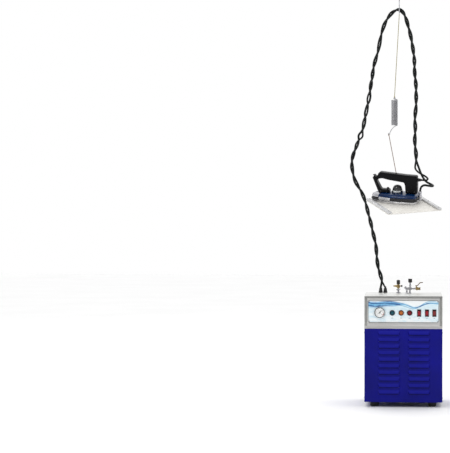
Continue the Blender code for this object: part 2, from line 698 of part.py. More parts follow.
def iron_handle(frame):
    handle = prism(handle_outline(), -GRIP_HALF, GRIP_HALF)
    handle = place("iron_handle", handle, bakelite(), parent=frame)
    soften(handle, 0.0042, 3, 60)
    cut(handle, box((-0.0876, -0.0046, 0.0950), (-0.0824, 0.0046, 0.1200)))
    thumb = [(-0.0900, 0.0), (-0.0910, 0.0018), (-0.0870, 0.0034), (-0.0805, 0.0028), (-0.0795, 0.0)]
    thumb = prism([(x - BUTTON_AT.x, z) for x, z in thumb], -0.0075, 0.0075)
    button = place("steam_button", thumb, black_plastic(), BUTTON_AT, parent=frame)
    join(button, box((-0.0021, -0.0042, -0.0080), (0.0021, 0.0042, 0.0010)))
    at = (0.0950 + GAP, 0.0, BOOT_Z)
    length = BOOT_END - at[0]
    boot = [(0, 0.0), (0.0070, 0.0), (0.0072, 0.0030), (0.0052, length), (0, length)]
    place("cable_boot", turned(boot, 16), rubber(), at, (0, math.pi / 2, 0), frame)


def thermostat(frame):
    ring = [(0, 0.0378), (0.0228, 0.0378), (0.0232, 0.0390), (0.0232, 0.0482), (0.0222, 0.0494), (0, 0.0494)]
    ring = place("thermostat_scale", turned(ring, 28), chrome(), (DIAL_X, 0, 0), parent=frame)
    dial = [(0, 0.0), (0.0188, 0.0), (0.0190, 0.0014), (0.0182, 0.0080), (0.0160, 0.0140), (0.0120, 0.0180),
            (0.0060, 0.0202), (0, 0.0206)]
    place("thermostat_dial", turned(dial, 24), black_plastic(), (DIAL_X, 0, 0.0497), parent=frame)


def steam_valve(frame):
    post = [(0, 0.0060), (0.0050, 0.0060), (0.0068, 0.0075), (0.0068, 0.0150), (0.0052, 0.0165),
            (0.0052, 0.0205), (0.0076, 0.0215), (0.0076, 0.0320), (0.0056, 0.0335), (0.0056, 0.0370),
            (0.0070, 0.0380), (0.0070, 0.0450), (0.0056, VALVE_TOP), (0, VALVE_TOP)]
    valve = turned(post, 18, centre=(VALVE_X, 0))
    valve = place("steam_valve", valve, chrome(), parent=frame)
    join(valve, rod((0.0958, 0, 0.0265), (VALVE_X, 0, 0.0265), 0.0042, 12))


def iron_rest():
    """A flat plate with a raised rail along two sides, tipped towards the operator."""
    frame = bpy.data.objects.new("rest_frame", None)
    bpy.context.collection.objects.link(frame)
    frame.matrix_world = (
        Matrix.Translation(IRON_AT) @ Matrix.Rotation(REST_TILT, 4, "X") @ Matrix.Rotation(REST_YAW, 4, "Z")
    )
    silicone = material("rest_pale", (0.80, 0.80, 0.79), 0.5)
    low, high = (-0.103, -0.206), (0.127, 0.066)
    centre = ((low[0] + high[0]) / 2, (low[1] + high[1]) / 2)
    outline = rounded_rectangle(high[0] - low[0], high[1] - low[1], 0.006, 2)
    plate = prism([(x + centre[0], y + centre[1]) for x, y in outline], -0.0033, -GAP, "xy")
    soften(place("rest_plate", plate, silicone, parent=frame), 0.0008, 1)
    for name, x, half in (("rest_rail_left", -0.0935, 0.0080), ("rest_rail_right", 0.1180, 0.0075)):
        rail = box((x - half, low[1] + 0.002, 0.0), (x + half, high[1] - 0.006, 0.0075))
        rail = place(name, rail, material("rail_grey", (0.6, 0.6, 0.6), 0.4), parent=frame)
        soften(rail, 0.0018, 2)


# ---------------------------------------------------------------- suspension

def overhead_hook():
    """A ceiling plate with a wire hook that the hose and cable lie in, open to the front."""
    x, y, z = HOOK_AT
    plate = [(0, CEILING - 0.004), (0.022, CEILING - 0.004), (0.0235, CEILING - 0.0032),
             (0.0235, CEILING), (0, CEILING)]
    centre = (x, y + HOOK_BEND)
    plate = turned(plate, 28, centre=centre)
    hook = place("overhead_hook", plate, chrome())
    route = [(x, y + HOOK_BEND, CEILING - 0.002), (x, y + HOOK_BEND, z + 0.012)]
    for i in range(9):
        angle = -math.pi * i / 8
        route.append((x, y + HOOK_BEND * math.cos(angle), z + HOOK_BEND * math.sin(angle)))
    route.append((x, y - HOOK_BEND - 0.002, z + 0.010))
    route = [Vector(p) for p in route]
    rings = []
    for i, p in enumerate(route):
        along = (route[min(i + 1, len(route) - 1)] - route[max(i - 1, 0)]).normalized()
        side = Vector((1, 0, 0))
        across = along.cross(side)
        rings.append([p + HOOK_WIRE * (math.cos(a) * side + math.sin(a) * across)
                      for a in (math.pi * k / 4 for k in range(8))])
    join(hook, loft(rings))


def suspension_spring():
    """The close-wound spring's outer shape, with its end hooks."""
    r = SPRING_RADIUS
    length = 0.117
    profile = [(0.0016, 0.0), (0.0016, -0.008), (0.0080, -0.0095), (r, -0.012), (r, -length + 0.004),
               (0.0080, -length + 0.001), (0.0016, -length), (0.0012, -length - 0.002)]
    spring = place("suspension_spring", turned(profile, 20), stainless(), SPRING_TOP)
    foot = SPRING_FOOT - SPRING_TOP
    join(spring, rod((0, 0, -length + 0.002), foot, 0.0016, 10))


def suspension_cords():
    olive = material("cord_olive", (0.42, 0.38, 0.24), 0.8)
    top = HOOK_AT - Vector((0, 0, HOOK_BEND + HOOK_WIRE + GAP))
    low = SPRING_TOP + Vector((0, 0, GAP))
    tube("upper_cord", smooth_route([top, top.lerp(low, 0.5), low], 14), CORD_RADIUS, olive)
    frame = bpy.data.objects["iron_frame"]
    knot = frame.matrix_world @ Vector((0.0050, 0.0, 0.1190))
    start = SPRING_FOOT - Vector((0, 0, 0.0022))
    brown = material("cord_brown", (0.16, 0.13, 0.11), 0.8)
    tube("lower_cord", smooth_route([start, start.lerp(knot, 0.5), knot], 12), CORD_RADIUS, brown)


# ---------------------------------------------------------------- hose and cable

def twisted_pair():
    """Two routes wound round the bundle's centreline, on opposite sides of it."""
    bundle = smooth_route(BUNDLE_ROUTE, 400)
    reach, strands = 0.0, ([], [])
    for i, p in enumerate(bundle):
        along = (bundle[min(i + 1, 399)] - bundle[max(i - 1, 0)]).normalized()
        if i:
            reach += (p - bundle[i - 1]).length
        side = Vector((0, 1, 0)).cross(along).normalized()
        depth = along.cross(side)
        angle = 2 * math.pi * reach / TWIST_PITCH
        spread = TWIST_RADIUS + max(0.0, 0.0095 - TWIST_RADIUS) * max(0.0, 1 - reach / 0.04)
        arm = spread * (math.cos(angle) * side + math.sin(angle) * depth)
        strands[0].append(p - arm)
        strands[1].append(p + arm)
    return strands


def led(points, first, last):
    """The same points, leaving the first and reaching the last straight along the given directions."""
    return [points[0], points[0] + CORD_LEAD * first] + points[1:-1] + [
        points[-1] + CORD_LEAD * last, points[-1]
    ]


def hose_and_cable(frame):
    """The twisted pair, then each strand's own way to the iron."""
    hose, cable = twisted_pair()
    up = Vector((0, 0, 1))
    turn = frame.matrix_world.to_3x3()
    hose_end = frame.matrix_world @ Vector((VALVE_X, 0.0, VALVE_TOP + GAP))
    cable_end = frame.matrix_world @ Vector((BOOT_END + GAP, 0.0, BOOT_Z))
    hose_end_lead, cable_end_lead = turn @ Vector((0, 0, 1)), turn @ Vector((1, 0, 0))
    hose = [Vector((*HOSE_EXIT, EXIT_TOP))] + hose[8:-1:4] + [Vector(p) for p in HOSE_TAIL] + [hose_end]
    cable = [Vector((*CABLE_EXIT, EXIT_TOP))] + cable[8:-1:4] + [Vector(p) for p in CABLE_TAIL]
    cable.append(cable_end)
    hose = led(smooth_route(hose, CORD_POINTS), up, hose_end_lead)
    cable = led(smooth_route(cable, CORD_POINTS), up, cable_end_lead)
    tube("steam_hose", hose, HOSE_RADIUS, rubber())
    tube("power_cable", cable, CABLE_RADIUS, rubber())


def main():
    clear_scene()
    feet()
    base_pan()
    front_panel()
    side_and_rear_panels()
    control_head()
    control_plate()
    top_cover()
    pressure_gauge()
    pilot_lights()
    rocker_switches()
    boiler()
    boiler_cradle()
    feed_pump()
    contactor()
    rear_fittings()
    vent_valve()
    manifold()
    ball_valve()
    exit_glands()
    frame = iron_frame()
    iron_base(frame)
    iron_handle(frame)
    thermostat(frame)
    steam_valve(frame)
    iron_rest()
    overhead_hook()
    suspension_spring()
    bpy.context.view_layer.update()
    suspension_cords()
    hose_and_cable(frame)


main()
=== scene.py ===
"""The looks of the steam generator iron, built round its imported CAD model. Metres, +Z up, front to -Y."""

import json
import math

import bmesh
import bpy
from mathutils import Matrix, Vector

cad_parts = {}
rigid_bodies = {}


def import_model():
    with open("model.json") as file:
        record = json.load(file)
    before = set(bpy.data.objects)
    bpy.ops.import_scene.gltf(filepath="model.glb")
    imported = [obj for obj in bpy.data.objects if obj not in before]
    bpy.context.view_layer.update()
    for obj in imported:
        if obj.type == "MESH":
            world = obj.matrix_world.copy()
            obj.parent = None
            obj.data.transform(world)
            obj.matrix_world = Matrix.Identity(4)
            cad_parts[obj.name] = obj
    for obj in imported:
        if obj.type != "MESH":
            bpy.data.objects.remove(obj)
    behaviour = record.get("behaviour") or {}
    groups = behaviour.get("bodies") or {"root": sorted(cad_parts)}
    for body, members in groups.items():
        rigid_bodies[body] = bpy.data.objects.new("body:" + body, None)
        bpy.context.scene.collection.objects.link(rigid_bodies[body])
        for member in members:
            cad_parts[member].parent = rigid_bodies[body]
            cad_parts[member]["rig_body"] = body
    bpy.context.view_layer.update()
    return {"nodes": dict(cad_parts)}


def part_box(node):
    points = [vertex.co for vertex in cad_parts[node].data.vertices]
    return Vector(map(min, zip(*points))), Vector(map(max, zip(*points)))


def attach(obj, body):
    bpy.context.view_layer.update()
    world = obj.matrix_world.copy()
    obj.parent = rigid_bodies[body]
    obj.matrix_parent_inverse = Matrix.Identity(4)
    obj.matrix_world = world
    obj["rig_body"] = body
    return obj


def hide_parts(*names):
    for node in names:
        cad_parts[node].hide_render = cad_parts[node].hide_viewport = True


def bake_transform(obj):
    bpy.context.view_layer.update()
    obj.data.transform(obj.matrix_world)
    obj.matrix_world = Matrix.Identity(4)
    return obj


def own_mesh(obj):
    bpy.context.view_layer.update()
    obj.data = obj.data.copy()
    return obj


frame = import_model()
NODES = frame["nodes"]

# Driving values, the same as the CAD model's
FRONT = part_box("control_head")[0].y
IRON_AT = Vector((-0.035, 0.050, 0.8214))
IRON_YAW, REST_TILT, REST_YAW = (math.radians(a) for a in (-13, 13, 20))
SOLE_LENGTH, SOLE_WIDTH = 0.195, 0.105
VALVE_X, VALVE_TOP = 0.1052, 0.0475
BOOT_Z, BOOT_END = 0.0945, 0.1093
DIAL_X = 0.0105
CORD_EYE = Vector((0.0050, 0.0, 0.1190))
HANDLE_HALF = 0.0165
RAIL_X = {"left": -0.0935, "right": 0.1180}
GAP = 0.0003
LOUVRE_COLUMNS, LOUVRE_ROWS = (-0.0576, 0.0620), 10
LOUVRE_PITCH, LOUVRE_BOTTOM = 0.0262, 0.053
HOSE_EXIT, CABLE_EXIT, EXIT_TOP = (-0.0935, 0.125), (-0.0745, 0.125), 0.4640
HOSE_RADIUS, CABLE_RADIUS, CORD_RADIUS = 0.0045, 0.00375, 0.0014
TWIST_PITCH, CORD_LEAD = 0.110, 0.004
HOOK_AT = Vector((-0.018, 0.020, 1.602))
HOOK_BEND, HOOK_WIRE = 0.0155, 0.002
SPRING_TOP = Vector((-0.0370, 0.020, 1.2460))
SPRING_FOOT = Vector((-0.0600, 0.021, 1.0960))
MOUTH_HALF = 0.0385

# The hose and cable are wound closer than in the CAD model, apart at the glands and at three heights
TWIST_RADIUS, EXIT_SPREAD = 0.0044, 0.0095
LOOSE_SPOTS = ((1.236, 0.0030), (1.168, 0.0034), (1.086, 0.0046))
BUNDLE_ROUTE = (
    (-0.084, 0.125, 0.464), (-0.087, 0.125, 0.482), (-0.093, 0.125, 0.510), (-0.103, 0.124, 0.545),
    (-0.110, 0.124, 0.594), (-0.115, 0.123, 0.647), (-0.126, 0.122, 0.694), (-0.140, 0.121, 0.752),
    (-0.156, 0.120, 0.815), (-0.174, 0.119, 0.861), (-0.202, 0.116, 0.915), (-0.213, 0.112, 0.982),
    (-0.194, 0.106, 1.050), (-0.172, 0.102, 1.104), (-0.160, 0.097, 1.158), (-0.145, 0.088, 1.232),
    (-0.131, 0.076, 1.317), (-0.123, 0.067, 1.371), (-0.106, 0.055, 1.432), (-0.090, 0.040, 1.508),
    (-0.070, 0.028, 1.560), (-0.046, 0.022, 1.591), (-0.018, 0.020, 1.602), (0.007, 0.020, 1.572),
    (0.029, 0.020, 1.490), (0.041, 0.020, 1.420), (0.045, 0.020, 1.347), (0.050, 0.020, 1.285),
    (0.051, 0.020, 1.221), (0.046, 0.018, 1.165), (0.048, 0.014, 1.115), (0.045, 0.009, 1.068),
    (0.051, 0.001, 1.012), (0.051, -0.006, 0.972),
)
HOSE_TAIL = (
    (0.064, 0.005, 0.952), (0.071, 0.012, 0.934), (0.080, 0.023, 0.917), (0.090, 0.040, 0.904),
    (0.102, 0.054, 0.896), (0.114, 0.054, 0.890), (0.120, 0.040, 0.885), (0.114, 0.023, 0.883),
    (0.100, 0.013, 0.885), (0.085, 0.011, 0.887), (0.074, 0.0125, 0.882), (0.0690, 0.0145, 0.873),
)
CABLE_TAIL = (
    (0.047, -0.016, 0.957), (0.057, -0.025, 0.942), (0.073, -0.030, 0.931), (0.089, -0.025, 0.922),
    (0.098, -0.013, 0.913), (0.094, -0.003, 0.908), (0.084, 0.0020, 0.9070),
)

REST_PLANE = Matrix.Translation(IRON_AT) @ Matrix.Rotation(REST_TILT, 4, "X")
IRON_TO_WORLD = REST_PLANE @ Matrix.Rotation(IRON_YAW, 4, "Z")
REST_TO_WORLD = REST_PLANE @ Matrix.Rotation(REST_YAW, 4, "Z")
# ---------------------------------------------------------------- camera

CAMERA_DISTANCE = 8.0
CAMERA_HEIGHT = 0.824
VIEW_WIDTH = 1.8
SENSOR_WIDTH = 36.0
OBJECT_RIGHT_OF_CENTRE = 0.714
CENTRE_HEIGHT = 0.7208


def link(obj):
    bpy.context.scene.collection.objects.link(obj)


def add_camera():
    """A long lens square to the front, turned left so that the object stands at the right of the frame."""
    data = bpy.data.cameras.new("camera")
    data.sensor_fit = "HORIZONTAL"
    data.sensor_width = SENSOR_WIDTH
    data.lens = SENSOR_WIDTH * CAMERA_DISTANCE / VIEW_WIDTH
    data.clip_end = 60
    camera = bpy.data.objects.new("camera", data)
    link(camera)
    camera.location = (0, FRONT - CAMERA_DISTANCE, CAMERA_HEIGHT)
    pan = math.atan(OBJECT_RIGHT_OF_CENTRE / CAMERA_DISTANCE)
    drop = math.atan((CAMERA_HEIGHT - CENTRE_HEIGHT) / CAMERA_DISTANCE)
    camera.rotation_euler = (math.pi / 2 - drop, 0, pan)
    bpy.context.scene.camera = camera


# ---------------------------------------------------------------- mesh helpers

def piece(name, bm, mat, body="root", matrix=None, smooth=35):
    """An object from a bmesh, placed by baking matrix into its points, that rides on body."""
    if matrix is not None:
        bmesh.ops.transform(bm, matrix=matrix, verts=bm.verts)
    bmesh.ops.recalc_face_normals(bm, faces=bm.faces)
    mesh = bpy.data.meshes.new(name)
    bm.to_mesh(mesh)
    bm.free()
    mesh.shade_smooth()
    mesh.set_sharp_from_angle(angle=math.radians(smooth))
    mesh.materials.append(mat)
    obj = bpy.data.objects.new(name, mesh)
    link(obj)
    if body:
        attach(obj, body)
    return obj


def neighbours(rows, loop):
    return list(zip(rows, rows[1:])) + ([(rows[-1], rows[0])] if loop else [])


def loft(rings, loop=False):
    """A skin from ring to ring, closed at its ends or, with loop, joined end to end."""
    bm = bmesh.new()
    rows = [[bm.verts.new(p) for p in ring] for ring in rings]
    pairs = neighbours(rows, loop)
    count = len(rows[0])
    for low, high in pairs:
        for i in range(count):
            j = (i + 1) % count
            bm.faces.new((low[i], low[j], high[j], high[i]))
    if not loop:
        bm.faces.new(rows[0])
        bm.faces.new(rows[-1])
    return bm


def turned(profile, count=48, loop=False):
    """A profile of (radius, height) turned about Z."""
    bm = bmesh.new()
    rows = []
    for radius, z in profile:
        if radius == 0:
            rows.append([bm.verts.new((0, 0, z))])
        else:
            step = 2 * math.pi / count
            rows.append([
                bm.verts.new((radius * math.cos(i * step), radius * math.sin(i * step), z))
                for i in range(count)
            ])
    pairs = neighbours(rows, loop)
    for low, high in pairs:
        for i in range(count):
            j = (i + 1) % count
            corners = [low[i % len(low)], low[j % len(low)], high[j % len(high)], high[i % len(high)]]
            bm.faces.new(list(dict.fromkeys(corners)))
    for row in (rows[0], rows[-1]):
        if len(row) > 1 and not loop:
            bm.faces.new(row)
    return bm


def rounded_rectangle(width, height, radius, steps=6):
    """Points round a rectangle with arcs for corners, about its middle."""
    points = []
    for quarter in range(4):
        cx = (width / 2 - radius) * (1 if quarter in (0, 3) else -1)
        cy = (height / 2 - radius) * (1 if quarter in (0, 1) else -1)
        for i in range(steps + 1):
            angle = math.radians(90 * quarter + 90 * i / steps)
            points.append((cx + radius * math.cos(angle), cy + radius * math.sin(angle)))
    return points


def smooth_route(points, count):
    """Evenly spaced points along a smooth curve through the given ones."""
    pts = [Vector(p) for p in points]
    pts = [2 * pts[0] - pts[1]] + pts + [2 * pts[-1] - pts[-2]]
    dense = []
    for a, b, c, d in zip(pts, pts[1:], pts[2:], pts[3:]):
        for i in range(20):
            t = i / 20
            dense.append(
                0.5 * (2 * b + (c - a) * t + (2 * a - 5 * b + 4 * c - d) * t**2
                       + (3 * b - a - 3 * c + d) * t**3)
            )
    dense.append(pts[-2])
    reach = [0.0]
    for p, q in zip(dense, dense[1:]):
        reach.append(reach[-1] + (q - p).length)
    result, k = [], 0
    for i in range(count):
        want = reach[-1] * i / (count - 1)
        while k < len(dense) - 2 and reach[k + 1] < want:
            k += 1
        share = (want - reach[k]) / (reach[k + 1] - reach[k])
        result.append(dense[k].lerp(dense[k + 1], min(max(share, 0.0), 1.0)))
    return result


def tube(name, path, radius, mat, sides=12, body="root"):
    """A round tube along path, with U in metres along it and V once round it."""
    bm = bmesh.new()
    uv = bm.loops.layers.uv.new("UVMap")
    along = (path[1] - path[0]).normalized()
    side = along.orthogonal().normalized()
    rows, reach = [], [0.0]
    for i, p in enumerate(path):
        ahead = (path[min(i + 1, len(path) - 1)] - path[max(i - 1, 0)]).normalized()
        side = (side - side.dot(ahead) * ahead).normalized()
        across = ahead.cross(side)
        if i:
            reach.append(reach[-1] + (p - path[i - 1]).length)
        rows.append([
            bm.verts.new(p + radius * (math.cos(a) * side + math.sin(a) * across))
            for a in (2 * math.pi * k / sides for k in range(sides))
        ])
    for i, (low, high) in enumerate(zip(rows, rows[1:])):
        for k in range(sides):
            j = (k + 1) % sides
            face = bm.faces.new((low[k], low[j], high[j], high[k]))
            places = ((i, k), (i, k + 1), (i + 1, k + 1), (i + 1, k))
            for loop, (row, turn) in zip(face.loops, places):
                loop[uv].uv = (reach[row], turn / sides)
    bm.faces.new(rows[0])
    bm.faces.new(rows[-1])
    return piece(name, bm, mat, body, smooth=60)


# ---------------------------------------------------------------- material helpers

def srgb(red, green, blue):
    """A linear colour from 0 to 255 screen values."""
    return tuple(
        c / 12.92 if c <= 0.04045 else ((c + 0.055) / 1.055) ** 2.4
        for c in (red / 255, green / 255, blue / 255)
    ) + (1.0,)


class Shade:
    """A Principled material with short calls for the nodes that feed it."""

    def __init__(self, name, colour, roughness, metallic=0.0, **values):
        self.mat = bpy.data.materials.new(name)
        self.mat.use_nodes = True
        self.nodes, self.links = self.mat.node_tree.nodes, self.mat.node_tree.links
        self.shader = self.nodes["Principled BSDF"]
        self.set("Base Color", colour)
        self.set("Roughness", roughness)
        self.set("Metallic", metallic)
        for key, value in values.items():
            self.set(key.replace("_", " "), value)
        self.coords = self.nodes.new("ShaderNodeTexCoord")
        self.mat.diffuse_color = colour

    def set(self, socket, value):
        self.shader.inputs[socket].default_value = value

    def feed(self, socket, source):
        self.links.new(source, self.shader.inputs[socket])

    def put(self, socket, value):
        if isinstance(value, bpy.types.NodeSocket):
            self.links.new(value, socket)
        elif value is not None:
            socket.default_value = value

    def math(self, operation, a, b=None, c=None):
        node = self.nodes.new("ShaderNodeMath")
        node.operation = operation
        for socket, value in zip(node.inputs, (a, b, c)):
            self.put(socket, value)
        return node.outputs[0]

    def split(self, kind="Object"):
        node = self.nodes.new("ShaderNodeSeparateXYZ")
        self.links.new(self.coords.outputs[kind], node.inputs[0])
        return node.outputs

    def from_centre(self, centre):
        """How far to the side of and above the centre a point is."""
        x, _, z = self.split()
        return self.math("SUBTRACT", x, centre.x), self.math("SUBTRACT", z, centre.z)

    def length(self, x, z):
        squares = self.math("ADD", self.math("MULTIPLY", x, x), self.math("MULTIPLY", z, z))
        return self.math("SQRT", squares)

    def remap(self, value, low, high, out_low=0.0, out_high=1.0, smooth=False):
        node = self.nodes.new("ShaderNodeMapRange")
        node.interpolation_type = "SMOOTHSTEP" if smooth else "LINEAR"
        for name, given in (("Value", value), ("From Min", low), ("From Max", high),
                            ("To Min", out_low), ("To Max", out_high)):
            self.put(node.inputs[name], given)
        return node.outputs[0]

    def noise(self, scale, detail=3.0, stretch=(1, 1, 1)):
        mapping = self.nodes.new("ShaderNodeMapping")
        mapping.inputs["Scale"].default_value = stretch
        self.links.new(self.coords.outputs["Object"], mapping.inputs["Vector"])
        node = self.nodes.new("ShaderNodeTexNoise")
        node.inputs["Scale"].default_value = scale
        node.inputs["Detail"].default_value = detail
        self.links.new(mapping.outputs[0], node.inputs["Vector"])
        return node.outputs[0]

    def mix(self, share, a, b):
        node = self.nodes.new("ShaderNodeMix")
        node.data_type = "RGBA"
        self.put(node.inputs["Factor"], share)
        self.put(node.inputs[6], a)
        self.put(node.inputs[7], b)
        return node.outputs[2]

    def bump(self, height, strength=0.3, distance=0.0004):
        node = self.nodes.new("ShaderNodeBump")
        node.inputs["Strength"].default_value = strength
        node.inputs["Distance"].default_value = distance
        self.links.new(height, node.inputs["Height"])
        self.feed("Normal", node.outputs[0])


def surface(name, light, dark, roughness, metallic=0.0, scale=40, stretch=(1, 1, 1), spread=0.08,
            grain=900, grain_stretch=None, bump=0.25, depth=0.0002, **values):
    """A finish with slow colour and gloss changes, and a fine grain in relief."""
    shade = Shade(name, light, roughness, metallic, **values)
    slow = shade.noise(scale, 4, stretch)
    shade.feed("Base Color", shade.mix(shade.remap(slow, 0.35, 0.7), light, dark))
    shade.feed("Roughness", shade.remap(slow, 0.3, 0.7, roughness - spread, roughness + spread))
    fine = shade.noise(grain, 2, grain_stretch or stretch)
    shade.bump(fine, bump, depth)
    return shade.mat


def make_materials():
    """The finishes that more than one piece shares."""
    m = {}
    m["blue"] = surface("blue_powder_coat", srgb(5, 7, 132), srgb(3, 5, 114), 0.34, scale=9, grain=650,
                        bump=0.16, depth=0.00012, Specular_IOR_Level=0.16)
    m["steel"] = surface("brushed_stainless", srgb(220, 219, 218), srgb(198, 197, 195), 0.36, 0.85,
                         scale=6, spread=0.06, grain=60, grain_stretch=(1, 45, 45), bump=0.25,
                         depth=0.00012)
    m["cover"] = surface("cover_stainless", srgb(216, 217, 215), srgb(202, 202, 200), 0.4, 0.8, scale=6,
                         spread=0.06, grain=60, grain_stretch=(1, 45, 45), bump=0.2, depth=0.0001)
    m["tank"] = surface("tank_steel", srgb(176, 174, 170), srgb(140, 137, 132), 0.4, 1.0, scale=18)
    m["chrome"] = surface("chrome_plate", srgb(198, 198, 202), srgb(170, 170, 176), 0.14, 1.0, scale=60,
                          spread=0.04, bump=0.05)
    m["brass"] = surface("machined_brass", srgb(176, 152, 100), srgb(116, 94, 56), 0.3, 1.0, scale=90,
                         spread=0.08, grain=1500, bump=0.12)
    m["rubber"] = surface("foot_rubber", srgb(26, 26, 27), srgb(38, 37, 36), 0.72, scale=70, grain=1200,
                          bump=0.4)
    m["gland"] = surface("gland_rubber", srgb(22, 22, 23), srgb(36, 35, 34), 0.6, scale=120, grain=1600,
                         bump=0.3)
    m["black"] = surface("moulded_black", srgb(30, 29, 30), srgb(42, 41, 42), 0.42, scale=120, grain=2200,
                         bump=0.25, depth=0.0001)
    m["housing"] = surface("switch_black", srgb(34, 22, 30), srgb(48, 34, 42), 0.38, scale=150,
                           grain=2400, bump=0.2, depth=0.0001)
    m["grey"] = surface("moulded_grey", srgb(150, 150, 146), srgb(128, 128, 125), 0.5, scale=90)
    m["lever"] = surface("lever_coat", srgb(134, 108, 78), srgb(72, 58, 44), 0.4, 0.2, scale=260)
    m["sole"] = surface("cast_sole", srgb(222, 222, 224), srgb(186, 186, 190), 0.24, 1.0, scale=50,
                        grain=140, grain_stretch=(1, 10, 10), bump=0.2)
    m["skirt"] = surface("heat_shield_black", srgb(20, 20, 24), srgb(34, 34, 40), 0.4, scale=120)
    m["iron_blue"] = surface("iron_enamel", srgb(6, 50, 98), srgb(3, 28, 68), 0.2, scale=30,
                             spread=0.05, grain=700, bump=0.05, Specular_IOR_Level=0.3)
    m["bakelite"] = surface("bakelite", srgb(5, 5, 7), srgb(11, 10, 13), 0.32, scale=65, spread=0.06,
                            grain=900, bump=0.06, Specular_IOR_Level=0.12)
    m["dial"] = surface("dial_black", srgb(34, 34, 35), srgb(54, 54, 54), 0.32, scale=150)
    m["rest"] = surface("rest_silicone", srgb(238, 235, 228), srgb(226, 223, 217), 0.5, scale=30,
                        grain=500, bump=0.3)
    m["rail"] = surface("rail_satin", srgb(208, 208, 209), srgb(190, 190, 191), 0.4, 0.1, scale=40,
                        grain=120, grain_stretch=(20, 1, 20))
    m["spring"] = surface("spring_wire", srgb(176, 176, 178), srgb(146, 146, 150), 0.4, 0.8, scale=400)
    m["marks"] = surface("printed_marks", srgb(236, 236, 232), srgb(220, 220, 216), 0.5, scale=200)
    m["ink"] = surface("dial_ink", srgb(28, 28, 30), srgb(40, 40, 42), 0.5, scale=200)
    m["needle"] = surface("needle_black", srgb(18, 18, 19), srgb(30, 30, 30), 0.4, scale=300)
    # Painted shade: near-black blue for the flat strips under the louvres' lips
    m["shadow"] = surface("louvre_painted_shade", srgb(1, 1, 40), srgb(1, 1, 30), 0.6, scale=60,
                          Specular_IOR_Level=0.1)
    m["border"] = surface("border_grey", srgb(170, 170, 168), srgb(146, 146, 144), 0.38, 0.8, scale=40)
    return m


def louvred_material():
    """The front panel's paint, with a painted highlight making faces that look up lighter and painted shade
    making the louvres' mouths darker.
    """
    shade = Shade("louvred_blue", srgb(5, 7, 132), 0.34, Specular_IOR_Level=0.16)
    up = shade.split("Normal")[2]
    slow = shade.remap(shade.noise(9, 4), 0.35, 0.7)
    plain = shade.mix(slow, srgb(5, 7, 132), srgb(3, 5, 114))
    # Painted highlight: lighter blue on faces that look up
    with_painted_highlight = shade.mix(shade.remap(up, 0.12, 0.6, smooth=True), plain, srgb(19, 22, 150))
    # Painted shade: near-black blue on faces that look down, in the louvres' mouths
    shade.feed("Base Color", shade.mix(shade.remap(up, -0.12, -0.6, smooth=True), with_painted_highlight, srgb(1, 1, 52)))
    shade.bump(shade.noise(650, 2), 0.16, 0.00012)
    return shade.mat


def label_material(centre, width, height):
    """A pale printed panel with blue waves: one broad at the left, dipping and rising to the right."""
    shade = Shade("wave_label", srgb(226, 244, 250), 0.3, Coat_Weight=0.4, Coat_Roughness=0.1)
    x, z = shade.from_centre(centre)
    ripple = shade.noise(38, 3, (1, 1, 3.0))
    dip = shade.math("DIVIDE", shade.math("SUBTRACT", x, 0.042), 0.034)
    dip = shade.math("EXPONENT", shade.math("MULTIPLY", shade.math("MULTIPLY", dip, dip), -1.0))
    sag = shade.remap(x, -0.130, 0.000, 0.0045, 0.0, smooth=True)
    line = shade.math("SUBTRACT", 0.0325, shade.math("MULTIPLY", dip, 0.0175))
    line = shade.math("SUBTRACT", line, sag)
    wobble = shade.math("MULTIPLY", shade.math("SINE", shade.math("MULTIPLY", x, 74.0)), 0.0016)
    line = shade.math("ADD", line, wobble)
    off = shade.math("SUBTRACT", z, line)
    half = shade.remap(x, -0.060, 0.012, 0.0150, 0.0032, smooth=True)
    reach = shade.math("DIVIDE", shade.math("ABSOLUTE", off), half)
    band = shade.remap(reach, 0.35, 1.15, 1.0, 0.0, smooth=True)
    phase = shade.math("ADD", shade.math("MULTIPLY", off, 620.0), shade.math("MULTIPLY", x, 46.0))
    phase = shade.math("ADD", phase, shade.math("MULTIPLY", ripple, 9.0))
    streak = shade.remap(shade.math("SINE", phase), -0.6, 0.9, 0.0, 1.0, smooth=True)
    pale = shade.mix(shade.remap(z, -height / 2, height / 2), srgb(250, 254, 255), srgb(216, 242, 252))
    pale = shade.mix(shade.remap(ripple, 0.46, 0.78), pale, srgb(204, 234, 247))
    blues = shade.mix(streak, srgb(118, 186, 226), srgb(16, 86, 158))
    above = shade.remap(off, 0.002, 0.010, 0.0, 1.0, smooth=True)
    ground = shade.mix(above, pale, srgb(250, 254, 255))
    second = shade.math("ADD", off, shade.math("MULTIPLY", shade.math(
        "SINE", shade.math("ADD", shade.math("MULTIPLY", x, 31.0), 1.2)), 0.0075))
    thin = shade.remap(shade.math("ABSOLUTE", second), 0.0004, 0.0024, 0.75, 0.0, smooth=True)
    ground = shade.mix(thin, ground, srgb(92, 176, 214))
    shade.feed("Base Color", shade.mix(band, ground, blues))
    shade.bump(shade.noise(700, 2), 0.08, 0.0001)
    return shade.mat


TICKS_PER_TURN = 40.0


